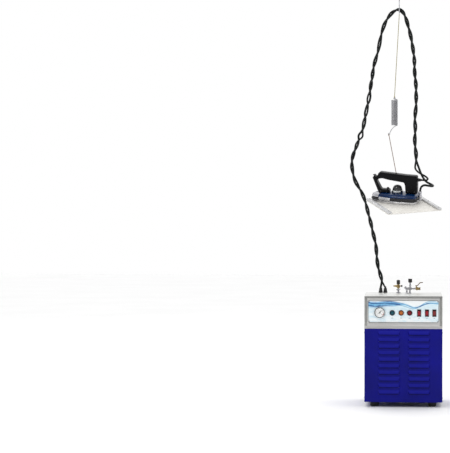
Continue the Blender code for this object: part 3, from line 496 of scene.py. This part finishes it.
def gauge_material(centre, rim):
    """A white dial with tick marks and a red arc over their last part, inside a black ring."""
    shade = Shade("gauge_dial", srgb(250, 251, 250), 0.45, Specular_IOR_Level=0.3)
    x, z = shade.from_centre(centre)
    radius = shade.length(x, z)
    angle = shade.math("ARCTAN2", x, z)
    wave = shade.math("COSINE", shade.math("MULTIPLY", angle, TICKS_PER_TURN))
    tick = shade.math("GREATER_THAN", wave, 0.80)
    ring = shade.math("MULTIPLY", shade.math("GREATER_THAN", radius, rim * 0.68),
                      shade.math("LESS_THAN", radius, rim * 0.80))
    scale = shade.math("LESS_THAN", shade.math("ABSOLUTE", angle), 2.36)
    tick = shade.math("MULTIPLY", shade.math("MULTIPLY", tick, ring), scale)
    hairline = shade.math("MULTIPLY", shade.math("GREATER_THAN", radius, rim * 0.80),
                          shade.math("LESS_THAN", radius, rim * 0.825))
    tick = shade.math("MAXIMUM", tick, shade.math("MULTIPLY", hairline, scale))
    red = shade.math("MULTIPLY", shade.math("MULTIPLY", ring, shade.math("GREATER_THAN", angle, 1.75)),
                     scale)
    face = shade.mix(shade.remap(shade.noise(60), 0.3, 0.7), srgb(254, 254, 253), srgb(246, 247, 246))
    face = shade.mix(red, face, srgb(196, 30, 30))
    face = shade.mix(tick, face, srgb(30, 30, 32))
    outside = shade.math("GREATER_THAN", radius, rim - 0.0021)
    shade.feed("Base Color", shade.mix(outside, face, srgb(20, 20, 23)))
    shade.bump(shade.noise(900, 2), 0.06, 0.0001)
    return shade.mat


def lamp_material(name, centre, glow, deep):
    """A coloured lens with moulded rings, inside a dark bezel."""
    shade = Shade(name, glow, 0.16, Specular_IOR_Level=0.3)
    x, z = shade.from_centre(centre)
    radius = shade.length(x, z)
    ring_pitch = 0.0021
    rings = shade.math("SINE", shade.math("MULTIPLY", radius, 2 * math.pi / ring_pitch))
    edge = shade.remap(radius, 0.0030, 0.0092, 0.0, 1.0, smooth=True)
    lens = shade.mix(edge, glow, deep)
    bezel = shade.math("GREATER_THAN", radius, 0.0099)
    shade.feed("Base Color", shade.mix(bezel, lens, srgb(30, 30, 32)))
    shade.bump(rings, 0.25, 0.0002)
    return shade.mat


def rocker_material(name, at, light, dark):
    """Red moulding, with painted shade making it darker towards both ends."""
    shade = Shade(name, light, 0.24, Specular_IOR_Level=0.3)
    _, _, z = shade.split()
    away = shade.math("ABSOLUTE", shade.math("SUBTRACT", z, at.z))
    # Painted shade: the dark red towards both ends of the rocker
    ends = shade.remap(away, 0.0065, 0.0105, 0.0, 1.0, smooth=True)
    shade.feed("Base Color", shade.mix(ends, light, dark))
    shade.bump(shade.noise(1500, 2), 0.1, 0.0001)
    return shade.mat


def braid_material(name, light, dark, pitch, strands, roughness, relief=0.5):
    """A braided sheath: two sets of strands wound opposite ways round a tube."""
    shade = Shade(name, light, roughness, Specular_IOR_Level=0.25)
    u, v, _ = shade.split("UV")
    turns = shade.math("MULTIPLY", v, 2 * math.pi * strands)
    run = shade.math("MULTIPLY", u, 2 * math.pi / pitch)
    one = shade.math("SINE", shade.math("ADD", run, turns))
    two = shade.math("SINE", shade.math("SUBTRACT", run, turns))
    weave = shade.math("MULTIPLY", one, two)
    share = shade.remap(weave, -0.7, 0.7)
    dust = shade.remap(shade.noise(30, 3), 0.4, 0.75, 0.0, 0.5)
    colour = shade.mix(share, dark, light)
    shade.feed("Base Color", shade.mix(dust, colour, light))
    shade.bump(weave, relief, 0.0003)
    return shade.mat


def scale_material(frame_matrix, centre_x):
    """The thermostat's silver ring with engraved ticks round its side."""
    shade = Shade("thermostat_ring", srgb(206, 208, 208), 0.26, 1.0)
    inverse = frame_matrix.inverted()
    x, y, z = shade.split()
    rows = []
    for row in (0, 1):
        total = inverse[row][3] - (centre_x if row == 0 else 0.0)
        part = shade.math("MULTIPLY_ADD", x, inverse[row][0], total)
        part = shade.math("MULTIPLY_ADD", y, inverse[row][1], part)
        rows.append(shade.math("MULTIPLY_ADD", z, inverse[row][2], part))
    angle = shade.math("ARCTAN2", rows[1], rows[0])
    tick = shade.math("GREATER_THAN", shade.math("COSINE", shade.math("MULTIPLY", angle, 36.0)), 0.86)
    worn = shade.mix(shade.remap(shade.noise(90), 0.35, 0.7), srgb(214, 216, 216), srgb(170, 174, 176))
    shade.feed("Base Color", shade.mix(tick, worn, srgb(60, 62, 66)))
    shade.bump(shade.noise(300, 2, (1, 1, 8)), 0.15, 0.0001)
    return shade.mat


def paint(mat, *names):
    """Give the named CAD nodes this material."""
    for name in names:
        slots = NODES[name].data.materials
        if len(slots):
            slots[0] = mat
        else:
            slots.append(mat)


def refine(node, bevel, angle=28, steps=2):
    """A finished copy of a CAD node with its corners rounded over, which stands for the node."""
    source = NODES[node]
    bm = bmesh.new()
    bm.from_mesh(source.data)
    bmesh.ops.remove_doubles(bm, verts=bm.verts, dist=0.00002)
    bmesh.ops.dissolve_degenerate(bm, dist=0.00001, edges=bm.edges)
    corners = [e for e in bm.edges if len(e.link_faces) == 2 and e.calc_face_angle(0) > math.radians(angle)]
    if bevel:
        bmesh.ops.bevel(bm, geom=corners, offset=bevel, segments=steps, profile=0.6, affect="EDGES",
                        clamp_overlap=True)
    obj = piece(f"{node}_finish", bm, source.data.materials[0], source["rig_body"], smooth=angle + 4)
    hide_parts(node)
    return obj


FEET = ("foot_front_left", "foot_front_right", "foot_rear_left", "foot_rear_right")
ROUNDING = {
    0.0: "rest_plate rest_rail_left rest_rail_right overhead_hook gauge_needle",
    0.0002: "steam_valve vent_nipple",
    0.0003: (
        "thermostat_scale steam_button cable_boot gauge_case pilot_light_green pilot_light_amber "
        "pilot_light_red rocker_1 rocker_2 rocker_3 switch_housing_1 switch_housing_2 "
        "switch_housing_3 vent_body vent_side_knob manifold_body ball_valve_body ball_valve_lever "
        "hose_gland cable_gland water_inlet mains_gland drain_plug"
    ),
    0.0004: "iron_skirt thermostat_dial vent_cap",
    0.0005: "iron_soleplate manifold_knob",
    0.0006: "iron_cover control_head top_cover",
    0.0008: "iron_handle",
}


def finish_parts():
    """Rounded corners and smooth curves on the parts that show the most, by the size of the rounding."""
    for bevel, nodes in ROUNDING.items():
        for node in nodes.split():
            refine(node, bevel)
    for node in FEET:
        refine(node, 0.0008)


def centre_of(node):
    """The middle of a CAD node's box."""
    low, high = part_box(node)
    return (low + high) / 2


# ---------------------------------------------------------------- cords

def twisted_pair():
    """Two routes wound round the bundle's centreline, on opposite sides of it."""
    steps = 400
    bundle = smooth_route(BUNDLE_ROUTE, steps)
    reach, strands = 0.0, ([], [])
    for i, p in enumerate(bundle):
        along = (bundle[min(i + 1, steps - 1)] - bundle[max(i - 1, 0)]).normalized()
        if i:
            reach += (p - bundle[i - 1]).length
        side = Vector((0, 1, 0)).cross(along).normalized()
        depth = along.cross(side)
        slack = math.sin(math.pi * i / (steps - 1))
        angle = 2 * math.pi * reach / TWIST_PITCH + slack * (
            1.1 * math.sin(reach * 8.3 + 0.6) + 0.5 * math.sin(reach * 21.0)
        )
        spread = TWIST_RADIUS + (EXIT_SPREAD - TWIST_RADIUS) * max(0.0, 1 - reach / 0.04)
        if p.x < -0.1:
            spread += sum(more * math.exp(-((p.z - z) / 0.016) ** 2) for z, more in LOOSE_SPOTS)
        arm = spread * (math.cos(angle) * side + math.sin(angle) * depth)
        strands[0].append(p - arm)
        strands[1].append(p + arm)
    return strands


def led(points, first, last):
    """The route with a short straight lead at each end, along the way the cord leaves its fitting."""
    return [points[0], points[0] + CORD_LEAD * first] + points[1:-1] + [
        points[-1] + CORD_LEAD * last, points[-1]
    ]


def hose_and_cable():
    """The steam hose and the iron's cable, from the glands over the hook and down to the iron."""
    hose, cable = twisted_pair()
    turn = IRON_TO_WORLD.to_3x3()
    up = Vector((0, 0, 1))
    hose_end = IRON_TO_WORLD @ Vector((VALVE_X, 0.0, VALVE_TOP + GAP))
    cable_end = IRON_TO_WORLD @ Vector((BOOT_END + GAP, 0.0, BOOT_Z))
    hose = [Vector((*HOSE_EXIT, EXIT_TOP))] + hose[8:-1:4] + [Vector(p) for p in HOSE_TAIL] + [hose_end]
    cable = [Vector((*CABLE_EXIT, EXIT_TOP))] + cable[8:-1:4] + [Vector(p) for p in CABLE_TAIL]
    cable.append(cable_end)
    hose = led(smooth_route(hose, 440), up, turn @ Vector((0, 0, 1)))
    cable = led(smooth_route(cable, 440), up, turn @ Vector((1, 0, 0)))
    sheath = braid_material("hose_braid", srgb(24, 31, 29), srgb(7, 10, 10), 0.0052, 8, 0.6, 0.35)
    jacket = braid_material("cable_braid", srgb(22, 24, 24), srgb(7, 8, 8), 0.0040, 8, 0.65, 0.3)
    for name, route, radius, mat, exit_at, node in (
        ("steam_hose_braided", hose, HOSE_RADIUS, sheath, HOSE_EXIT, "steam_hose"),
        ("power_cable_braided", cable, CABLE_RADIUS, jacket, CABLE_EXIT, "power_cable"),
    ):
        cord = tube(name, route, radius, mat, 12, body=None)
        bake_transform(cord)
        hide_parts(node)


def suspension_cords():
    """The cord above the spring and the one below it. Returns their two finishes."""
    olive = braid_material("cord_olive_braid", srgb(190, 182, 138), srgb(140, 130, 90), 0.0024, 6, 0.8)
    brown = braid_material("cord_brown_braid", srgb(150, 122, 100), srgb(92, 72, 58), 0.0024, 6, 0.8)
    top = HOOK_AT - Vector((0, 0, HOOK_BEND + HOOK_WIRE + GAP))
    low = SPRING_TOP + Vector((0, 0, GAP))
    upper = smooth_route([top, top.lerp(low, 0.5), low], 60)
    cord = tube("upper_cord_braided", upper, CORD_RADIUS, olive, 10)
    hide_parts("upper_cord")
    start = SPRING_FOOT - Vector((0, 0, 0.0022))
    knot = IRON_TO_WORLD @ CORD_EYE
    lower = smooth_route([start, start.lerp(knot, 0.5), knot], 40)
    cord = tube("lower_cord_braided", lower, CORD_RADIUS, brown, 10)
    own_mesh(cord)
    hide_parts("lower_cord")
    return olive, brown


def suspension_spring(m, cords):
    """A close-wound extension spring, with an eye at its top and a long bent hook at its foot, round a black
    rod of painted shade.
    """
    wire, turns = 0.0015, 32
    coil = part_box("suspension_spring")[1].x - SPRING_TOP.x - wire
    high, low = SPRING_TOP.z - 0.0115, SPRING_TOP.z - 0.1145
    eye, eye_radius = SPRING_TOP - Vector((0, 0, 0.0046)), 0.0034
    path = []
    for i in range(15):
        angle = math.radians(-60 + 330 * i / 14)
        path.append(eye + eye_radius * Vector((math.sin(angle), 0, math.cos(angle))))
    path.append(Vector((SPRING_TOP.x + 0.4 * coil, SPRING_TOP.y, high + 0.0030)))
    for i in range(turns * 16 + 1):
        angle = 2 * math.pi * i / 16
        z = high + (low - high) * i / (turns * 16)
        path.append(Vector((
            SPRING_TOP.x + coil * math.cos(angle), SPRING_TOP.y + coil * math.sin(angle), z
        )))
    centre = Vector((SPRING_TOP.x, SPRING_TOP.y, low))
    foot = SPRING_FOOT + Vector((0.001, 0, 0.0025))
    bend = centre.lerp(foot, 0.35)
    path += [centre + Vector((0.4 * coil, 0, -0.0024)), centre + Vector((0.0, 0, -0.0046))]
    path += [bend + Vector((0, 0, -0.0006)), centre.lerp(foot, 0.7)]
    for i in range(13):
        angle = math.radians(40 - 320 * i / 12)
        path.append(foot + Vector((0, 0, -0.0022)) + 0.0030 * Vector((math.sin(angle), 0, math.cos(angle))))
    spring = tube("coiled_spring", path, wire, m["spring"], 8)
    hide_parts("suspension_spring")
    # Painted shade: a black rod inside the coils stands for the dark hollow of the spring, seen between the
    # turns
    rod = turned([(0, 0.0), (0.0034, 0.0), (0.0034, high - low - 0.002), (0, high - low - 0.002)], 16)
    shade_core = piece("spring_painted_shade_rod", rod, m["black"],
                 matrix=Matrix.Translation((SPRING_TOP.x, SPRING_TOP.y, low + 0.001)))
    turns = [(0.0006, 0.0), (0.0022, 0.0006), (0.0027, 0.0018), (0.0023, 0.0026), (0.0028, 0.0036),
             (0.0024, 0.0046), (0.0012, 0.0054), (0.0006, 0.0054)]
    for name, at, turn, mat, slot in (
        ("upper_knot", SPRING_TOP - Vector((0, 0, 0.0020)), 0.0, cords[0], "cord_olive"),
        ("lower_knot", SPRING_FOOT - Vector((0.0004, 0, 0.0064)), 0.2, cords[1], "cord_brown"),
    ):
        knot = piece(name, turned(turns, 24, loop=True), mat,
                     matrix=Matrix.Translation(at) @ Matrix.Rotation(turn, 4, "Y"))


# ---------------------------------------------------------------- small hardware

def screw(name, at, outward, radius, mat, body="root"):
    """A pan-head screw with a sunk socket."""
    profile = [(0, radius * 0.20), (radius * 0.42, radius * 0.20), (radius * 0.46, radius * 0.62),
               (radius * 0.72, radius * 0.55), (radius * 0.95, radius * 0.30), (radius, 0.0), (0, 0.0)]
    turn = Vector(outward).to_track_quat("Z", "Y").to_matrix().to_4x4()
    obj = piece(name, turned(profile, 24), mat, body, Matrix.Translation(at) @ turn)
    return obj


def frame_ring(name, centre, width, height, border, proud, mat):
    """A rounded rectangular frame standing proud of a panel that faces -Y."""
    levels = ((0.0, 0.0), (0.0, 0.7 * proud), (0.3 * border, proud), (0.8 * border, proud),
              (border, 0.7 * proud), (border, 0.0))
    rings = []
    for inset, out in levels:
        ring = rounded_rectangle(width - 2 * inset, height - 2 * inset, max(0.0085 - inset, 0.003))
        rings.append([(x + centre.x, centre.y - out, z + centre.z) for x, z in ring])
    obj = piece(name, loft(rings, loop=True), mat)
    return obj


def head_trim(m):
    """The raised border round the label, the folded band below it, and the fixing screws."""
    low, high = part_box("control_plate")
    centre = Vector(((low.x + high.x) / 2, low.y - 0.0001, (low.z + high.z) / 2))
    width, height = high.x - low.x, high.z - low.z
    frame_ring("label_border", centre, width, height, 0.0030, 0.0012, m["border"])
    for i, (sx, sz) in enumerate(((-1, -1), (1, -1), (-1, 1), (1, 1))):
        at = (centre.x + sx * (width / 2 - 0.0065), centre.y, centre.z + sz * (height / 2 - 0.0065))
        screw(f"label_screw_{i + 1}", at, (0, -1, 0), 0.0021, m["chrome"])
    head_low, head_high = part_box("control_head")
    half = head_high.x
    for name, z0, z1 in (("head_band", head_low.z + 0.0004, head_low.z + 0.0115),
                         ("head_top_fold", head_high.z - 0.0075, head_high.z - 0.0004)):
        ring = [(head_low.y, z0), (head_low.y - 0.0012, z0 + 0.0008), (head_low.y - 0.0014, z1 - 0.0016),
                (head_low.y - 0.0004, z1), (head_low.y, z1)]
        bm = loft([[(x, y, z) for y, z in ring] for x in (-half + 0.0004, half - 0.0004)])
        piece(name, bm, m["border"] if name == "head_top_fold" else m["steel"])
    for name, sign in (("head_left_fold", -1), ("head_right_fold", 1)):
        ring = [(half - 0.0004, 0.0), (half - 0.0004, -0.0008), (half - 0.0014, -0.0013),
                (half - 0.0095, -0.0013), (half - 0.0110, 0.0)]
        bm = loft([[(sign * x, head_low.y + y, z) for x, y in ring]
                   for z in (head_low.z + 0.0118, head_high.z - 0.0078)])
        piece(name, bm, m["border"])


def louvre_mouths(m):
    """Dark strips of painted shade on the panel below each louvre's lip."""
    number = 1
    for x in LOUVRE_COLUMNS:
        for row in range(LOUVRE_ROWS):
            z = LOUVRE_BOTTOM + row * LOUVRE_PITCH
            ring = [(x - MOUTH_HALF, z - 0.0022), (x + MOUTH_HALF, z - 0.0022),
                    (x + MOUTH_HALF + 0.001, z + 0.0004), (x - MOUTH_HALF - 0.001, z + 0.0004)]
            bm = loft([[(a, FRONT - out, b) for a, b in ring] for out in (-0.0002, 0.0002)])
            # Painted shade: a thin dark sheet on the panel where the louvre's mouth is in shadow
            piece(f"painted_shade_strip_{number}", bm, m["shadow"])
            number += 1


def case_screws(m):
    """Screws along the edges of the side and rear panels."""
    number = 1
    for side in (-1, 1):
        low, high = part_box("left_side_panel" if side < 0 else "right_side_panel")
        x = low.x if side < 0 else high.x
        for y in (low.y + 0.014, high.y - 0.014):
            for z in (low.z + 0.016, high.z - 0.016):
                screw(f"side_screw_{number}", (x, y, z), (side, 0, 0), 0.0036, m["chrome"])
                number += 1
    low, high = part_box("rear_panel")
    for x in (low.x + 0.016, 0.0, high.x - 0.016):
        for z in (low.z + 0.012, high.z - 0.012):
            screw(f"rear_screw_{number}", (x, high.y, z), (0, 1, 0), 0.0036, m["chrome"])
            number += 1


def gauge_details(m):
    """Numbers round the dial."""
    centre = centre_of("gauge_case")
    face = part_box("gauge_lens")[1].y + 0.0035
    for value in range(0, 11, 2):
        angle = math.radians(225 - 270 * value / 10)
        data = bpy.data.curves.new(f"dial_number_{value}", "FONT")
        data.body = str(value)
        data.size = 0.0040
        data.align_x = "CENTER"
        data.align_y = "CENTER"
        data.extrude = 0.00004
        data.materials.append(m["ink"])
        text = bpy.data.objects.new(f"dial_number_{value}", data)
        link(text)
        spot = Vector((0.0106 * math.cos(angle), 0, 0.0106 * math.sin(angle)))
        text.location = Vector((centre.x, face, centre.z)) + spot
        text.rotation_euler = (math.pi / 2, 0, 0)
        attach(text, "root")


def caption_dashes(m):
    """Short plain printed dashes under the lamps and the switches."""
    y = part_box("control_plate")[0].y
    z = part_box("gauge_case")[0].z - 0.0012
    for name in [f"pilot_light_{c}" for c in ("green", "amber", "red")] + [f"rocker_{i}" for i in (1, 2, 3)]:
        x = centre_of(name).x
        half = 0.0042 if name.startswith("pilot") else 0.0034
        ring = [(-half, -0.0006), (half, -0.0006), (half, 0.0006), (-half, 0.0006)]
        bm = loft([[(x + a, y - out, z + b) for a, b in ring] for out in (0.0, 0.00012)])
        piece(f"caption_{name}", bm, m["ink"])


def switch_marks(m):
    """A line and a ring moulded on each rocker, for on and off."""
    for number in (1, 2, 3):
        low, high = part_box(f"rocker_{number}")
        x = (low.x + high.x) / 2
        tilt = Matrix.Rotation(math.radians(7), 4, "X")
        middle = Matrix.Translation((x, (low.y + high.y) / 2, (low.z + high.z) / 2))
        slope = math.atan(0.0026 / 0.0116)
        for mark, sign in (("on", 1), ("off", -1)):
            turn = tilt @ Matrix.Rotation(math.radians(90) + sign * slope, 4, "X")
            y_out = 0.0058 if sign > 0 else 0.0056
            lift = tilt @ Vector((0, -y_out + 0.0021, sign * 0.0070))
            if mark == "on":
                bm = loft([[(sx * 0.0004, sy * 0.0017, z) for sx, sy in
                            ((-1, -1), (1, -1), (1, 1), (-1, 1))] for z in (0.0, 0.0002)])
            else:
                bm = turned([(0.0011, 0.0), (0.0016, 0.0), (0.0016, 0.0002), (0.0011, 0.0002)], 20,
                            loop=True)
            obj = piece(f"rocker_{number}_{mark}_mark", bm, m["marks"], f"rocker_{number}",
                        middle @ Matrix.Translation(lift) @ turn)


# ---------------------------------------------------------------- iron

TAPER_SHARE, TAPER_POWER, TAIL_CORNER = 0.74, 0.72, 0.016
NOSE_THICKNESS, TRIM_THICKNESS = 0.0005, 0.0006


def sole_side(inset, z, first, last, count=22):
    """Points along the +Y side of the iron's outline, from share first to share last of its taper."""
    half, nose = SOLE_WIDTH / 2, -SOLE_LENGTH / 2
    points = []
    for i in range(count):
        u = first + (last - first) * i / (count - 1)
        x = nose + TAPER_SHARE * SOLE_LENGTH * u
        width = half * (1 - (1 - u) ** 2) ** TAPER_POWER if u > 0 else 0.0
        points.append(Vector((x * (1 - inset / (SOLE_LENGTH / 2)), width * (1 - inset / half), z)))
    return points


def iron_skin(name, rows, thickness, mat):
    """A thin skin through rows of points given in the iron's frame."""
    bm = bmesh.new()
    grid = [[bm.verts.new(p) for p in row] for row in rows]
    for low, high in zip(grid, grid[1:]):
        for i in range(len(low) - 1):
            bm.faces.new((low[i], low[i + 1], high[i + 1], high[i]))
    obj = piece(name, bm, mat, "iron", IRON_TO_WORLD, smooth=50)
    solid = obj.modifiers.new("thickness", "SOLIDIFY")
    solid.thickness = thickness
    solid.offset = 0.0


def nose_trim(name, levels, last, mat):
    """A skin over the iron's nose, from side to side, along the given (inset, height) levels."""
    rows = []
    for inset, z in levels:
        side = sole_side(inset, z, 0.0, last)
        rows.append([Vector((p.x, -p.y, p.z)) for p in reversed(side)] + side[1:])
    iron_skin(name, rows, NOSE_THICKNESS, mat)


def side_trim(name, levels, first, last, mat):
    """A strip along both sides of the iron's base, along the given (inset, height) levels."""
    for tag, sign in (("left", 1), ("right", -1)):
        rows = [[Vector((p.x, sign * p.y, z)) for p in sole_side(inset, z, first, last)]
                for inset, z in levels]
        iron_skin(f"{name}_{tag}", rows, TRIM_THICKNESS, mat)


def rear_trim(name, levels, first, mat):
    """A band from side to side round the iron's tail."""
    half, corner = SOLE_WIDTH / 2, TAIL_CORNER
    tail = SOLE_LENGTH / 2 - corner
    rows = []
    for inset, z in levels:
        side = sole_side(inset, z, first, 1.0, 14)
        for i in range(7):
            angle = math.pi / 2 * (1 - i / 6)
            x, y = tail + corner * math.cos(angle), half - corner + corner * math.sin(angle)
            side.append(Vector((x * (1 - inset / (SOLE_LENGTH / 2)), y * (1 - inset / half), z)))
        rows.append(side + [Vector((p.x, -p.y, p.z)) for p in reversed(side)])
    iron_skin(name, rows, TRIM_THICKNESS, mat)


def iron_details(m):
    """Trim round the base, the handle's screws, the front adjuster and the cord's ferrule."""
    nose_trim("nose_chrome", ((0.0020, 0.0172), (0.0024, 0.0240), (0.0052, 0.0313), (0.0104, 0.0359),
                              (0.0170, 0.0373)), 0.22, m["chrome"])
    nose_trim("nose_cap", ((-0.0008, 0.0088), (-0.0010, 0.0120), (0.0000, 0.0164)), 0.24, m["skirt"])
    side_trim("sole_strip", ((-0.0003, 0.0103), (-0.0003, 0.0160), (0.0018, 0.0168), (0.0020, 0.0226)),
              0.245, 0.60, m["sole"])
    rear_trim("heat_band", ((-0.0002, 0.0160), (0.0018, 0.0168), (0.0020, 0.0230), (0.0031, 0.0234)),
              0.605, m["skirt"])
    for i, (x, z) in enumerate(((0.0560, 0.0460), (0.0860, 0.0460), (-0.0560, 0.0440))):
        for tag, sign in (("a", -1), ("b", 1)):
            at = IRON_TO_WORLD @ Vector((x, sign * HANDLE_HALF, z))
            out = IRON_TO_WORLD.to_3x3() @ Vector((0, sign, 0))
            screw(f"handle_screw_{i + 1}{tag}", at, out, 0.0030, m["black"], "iron")
    knob = turned([(0, 0), (0.0040, 0), (0.0052, 0.0012), (0.0052, 0.0046), (0.0038, 0.0062),
                   (0, 0.0066)], 28)
    obj = piece("front_adjuster", knob, m["black"], "iron",
                IRON_TO_WORLD @ Matrix.Translation((-0.0290, 0, 0.0521)))
    ferrule = turned([(0.0028, 0.0), (0.0044, 0.0), (0.0044, 0.0008), (0.0036, 0.0014),
                      (0.0028, 0.0014)], 24, loop=True)
    knot = IRON_TO_WORLD @ (CORD_EYE - Vector((0, 0, 0.0014)))
    obj = piece("cord_ferrule", ferrule, m["black"], "iron",
                Matrix.Translation(knot) @ IRON_TO_WORLD.to_3x3().to_4x4())


def dial_details(m):
    """A ribbed skirt and a pointer on the thermostat's dial."""
    count = 96
    ring, top = [], []
    for i in range(count):
        angle = 2 * math.pi * i / count
        radius = 0.0192 + (0.0006 if i % 4 < 2 else 0.0)
        ring.append((radius * math.cos(angle), radius * math.sin(angle), 0.0))
        top.append(((radius - 0.0009) * math.cos(angle), (radius - 0.0009) * math.sin(angle), 0.0076))
    inner = [(0.0186 * math.cos(2 * math.pi * i / count), 0.0186 * math.sin(2 * math.pi * i / count), z)
             for z in (0.0078, 0.0) for i in range(count)]
    bm = loft([ring, top, inner[:count], inner[count:]], loop=True)
    place = IRON_TO_WORLD @ Matrix.Translation((DIAL_X, 0, 0.0500))
    obj = piece("dial_ribs", bm, m["dial"], "thermostat_dial", place, smooth=25)
    bm = loft([[(-0.0007, -0.0172, z), (0.0007, -0.0172, z), (0.0005, -0.0110, z + 0.0055),
                (-0.0005, -0.0110, z + 0.0055)] for z in (0.0098, 0.0125)])
    obj = piece("dial_pointer", bm, m["marks"], "thermostat_dial", place)


def rest_details(m):
    """Screws that hold the rails."""
    for rail, x in RAIL_X.items():
        for i, y in enumerate((-0.190, -0.070, 0.044)):
            at = REST_TO_WORLD @ Vector((x, y, 0.0075))
            out = REST_TO_WORLD.to_3x3() @ Vector((0, 0, 1))
            screw(f"rail_screw_{rail}_{i + 1}", at, out, 0.0026, m["black"])


def vent_nut(m):
    """The hexagon nut on the pipe below the vent valve."""
    centre, top = centre_of("vent_nipple"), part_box("vent_nipple")[1].z
    bore, radius = 0.0045, 0.0078
    profile = [(bore, 0.0), (radius, 0.0), (radius, 0.0038), (radius - 0.0010, 0.0048), (bore, 0.0048)]
    nut = piece("vent_nut", turned(profile, 6, loop=True), m["chrome"],
                matrix=Matrix.Translation((centre.x, centre.y, top - 0.0075)))


# ---------------------------------------------------------------- whole object

def dress_cad(m):
    """Every CAD node that stays in view gets its finish."""
    paint(m["blue"], "base_pan", "left_side_panel", "right_side_panel", "rear_panel")
    paint(louvred_material(), "front_panel")
    paint(m["steel"], "control_head")
    paint(m["cover"], "top_cover")
    paint(m["tank"], "boiler_tank", "boiler_cradle", "heater_flange")
    paint(m["rubber"], *FEET)
    paint(m["gland"], "hose_gland", "cable_gland", "cable_boot")
    low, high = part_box("control_plate")
    paint(label_material((low + high) / 2, high.x - low.x, high.z - low.z), "control_plate")
    gauge_low, gauge_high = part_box("gauge_case")
    paint(gauge_material((gauge_low + gauge_high) / 2, (gauge_high.x - gauge_low.x) / 2), "gauge_case")
    paint(m["needle"], "gauge_needle")
    lens = Shade("gauge_glass", (0.95, 0.98, 0.98, 1), 0.04, Alpha=0.08)
    lens.bump(lens.noise(40, 2), 0.02, 0.0001)
    paint(lens.mat, "gauge_lens")
    lamps = {
        "green": (srgb(8, 78, 92), srgb(1, 40, 52)),
        "amber": (srgb(190, 104, 38), srgb(104, 46, 12)),
        "red": (srgb(122, 7, 24), srgb(62, 2, 12)),
    }
    for colour, (glow, deep) in lamps.items():
        node = f"pilot_light_{colour}"
        paint(lamp_material(f"lamp_{colour}", centre_of(node), glow, deep), node)
    # Each rocker's red, and the dark red of its painted shade at the ends
    lit_and_shaded_reds = ((srgb(150, 14, 30), srgb(26, 3, 9)), (srgb(150, 14, 30), srgb(26, 3, 9)),
             (srgb(124, 38, 38), srgb(34, 10, 12)))
    for number, (light, dark) in enumerate(lit_and_shaded_reds, 1):
        node = f"rocker_{number}"
        paint(rocker_material(f"rocker_tone_{number}", centre_of(node), light, dark), node)
        paint(m["housing"], f"switch_housing_{number}")
    paint(m["black"], "feed_pump", "mains_gland", "vent_cap", "vent_side_knob", "manifold_knob",
          "steam_button")
    paint(m["grey"], "contactor")
    paint(m["brass"], "water_inlet", "drain_plug", "vent_body", "ball_valve_body")
    paint(m["chrome"], "vent_nipple", "manifold_body", "steam_valve", "overhead_hook")
    paint(m["lever"], "ball_valve_lever")
    paint(m["sole"], "iron_soleplate")
    paint(m["skirt"], "iron_skirt")
    paint(m["iron_blue"], "iron_cover")
    paint(m["bakelite"], "iron_handle")
    paint(m["dial"], "thermostat_dial")
    paint(scale_material(IRON_TO_WORLD, DIAL_X), "thermostat_scale")
    paint(m["rest"], "rest_plate")
    paint(m["rail"], "rest_rail_left", "rest_rail_right")


def studio():
    """A plain pale floor under soft light."""
    bm = bmesh.new()
    corners = [bm.verts.new(p) for p in ((-9, -12, 0), (9, -12, 0), (9, 14, 0), (-9, 14, 0))]
    bm.faces.new(corners)
    floor = piece("floor", bm, surface("floor_pale", srgb(250, 250, 250), srgb(247, 247, 247), 0.7,
                                       scale=2, bump=0.02), body=None)
    world = bpy.data.worlds.new("studio")
    bpy.context.scene.world = world
    world.use_nodes = True
    nodes, links = world.node_tree.nodes, world.node_tree.links
    coords, split, total = (nodes.new(kind) for kind in (
        "ShaderNodeTexCoord", "ShaderNodeSeparateXYZ", "ShaderNodeMath"
    ))
    links.new(coords.outputs["Generated"], split.inputs[0])
    # Brighter towards the back, and a little more light from overhead
    for i, (axis, blend, limits) in enumerate((
        ("Y", "SMOOTHSTEP", (-0.5, 0.45, 0.32, 1.0)), ("Z", "LINEAR", (0.12, 0.9, 0.0, 0.5)),
    )):
        ramp = nodes.new("ShaderNodeMapRange")
        ramp.interpolation_type = blend
        for key, value in zip(("From Min", "From Max", "To Min", "To Max"), limits):
            ramp.inputs[key].default_value = value
        links.new(split.outputs[axis], ramp.inputs["Value"])
        links.new(ramp.outputs[0], total.inputs[i])
    nodes["Background"].inputs["Color"].default_value = (1.0, 1.0, 1.0, 1.0)
    links.new(total.outputs[0], nodes["Background"].inputs["Strength"])
    for name, at, size, power in (
        ("key", (-2.8, -4.0, 3.6), 2.2, 62), ("fill", (3.6, -3.4, 1.8), 1.6, 16),
        ("top", (0.4, 0.2, 4.4), 2.4, 10), ("back", (-2.0, 4.0, 3.2), 2.4, 20)
    ):
        data = bpy.data.lights.new(name, "AREA")
        data.size = size
        data.energy = power
        light = bpy.data.objects.new(name, data)
        link(light)
        light.location = at
        aim = Vector((0, 0, 0.6)) - Vector(at)
        light.rotation_euler = aim.to_track_quat("-Z", "Y").to_euler()


def main():
    """Camera and cords first, then the finishes, the trim and the studio."""
    bpy.context.scene.view_settings.view_transform = "Standard"
    add_camera()
    hose_and_cable()
    cords = suspension_cords()
    m = make_materials()
    suspension_spring(m, cords)
    dress_cad(m)
    finish_parts()
    head_trim(m)
    louvre_mouths(m)
    case_screws(m)
    gauge_details(m)
    switch_marks(m)
    caption_dashes(m)
    iron_details(m)
    dial_details(m)
    rest_details(m)
    vent_nut(m)
    studio()


main()
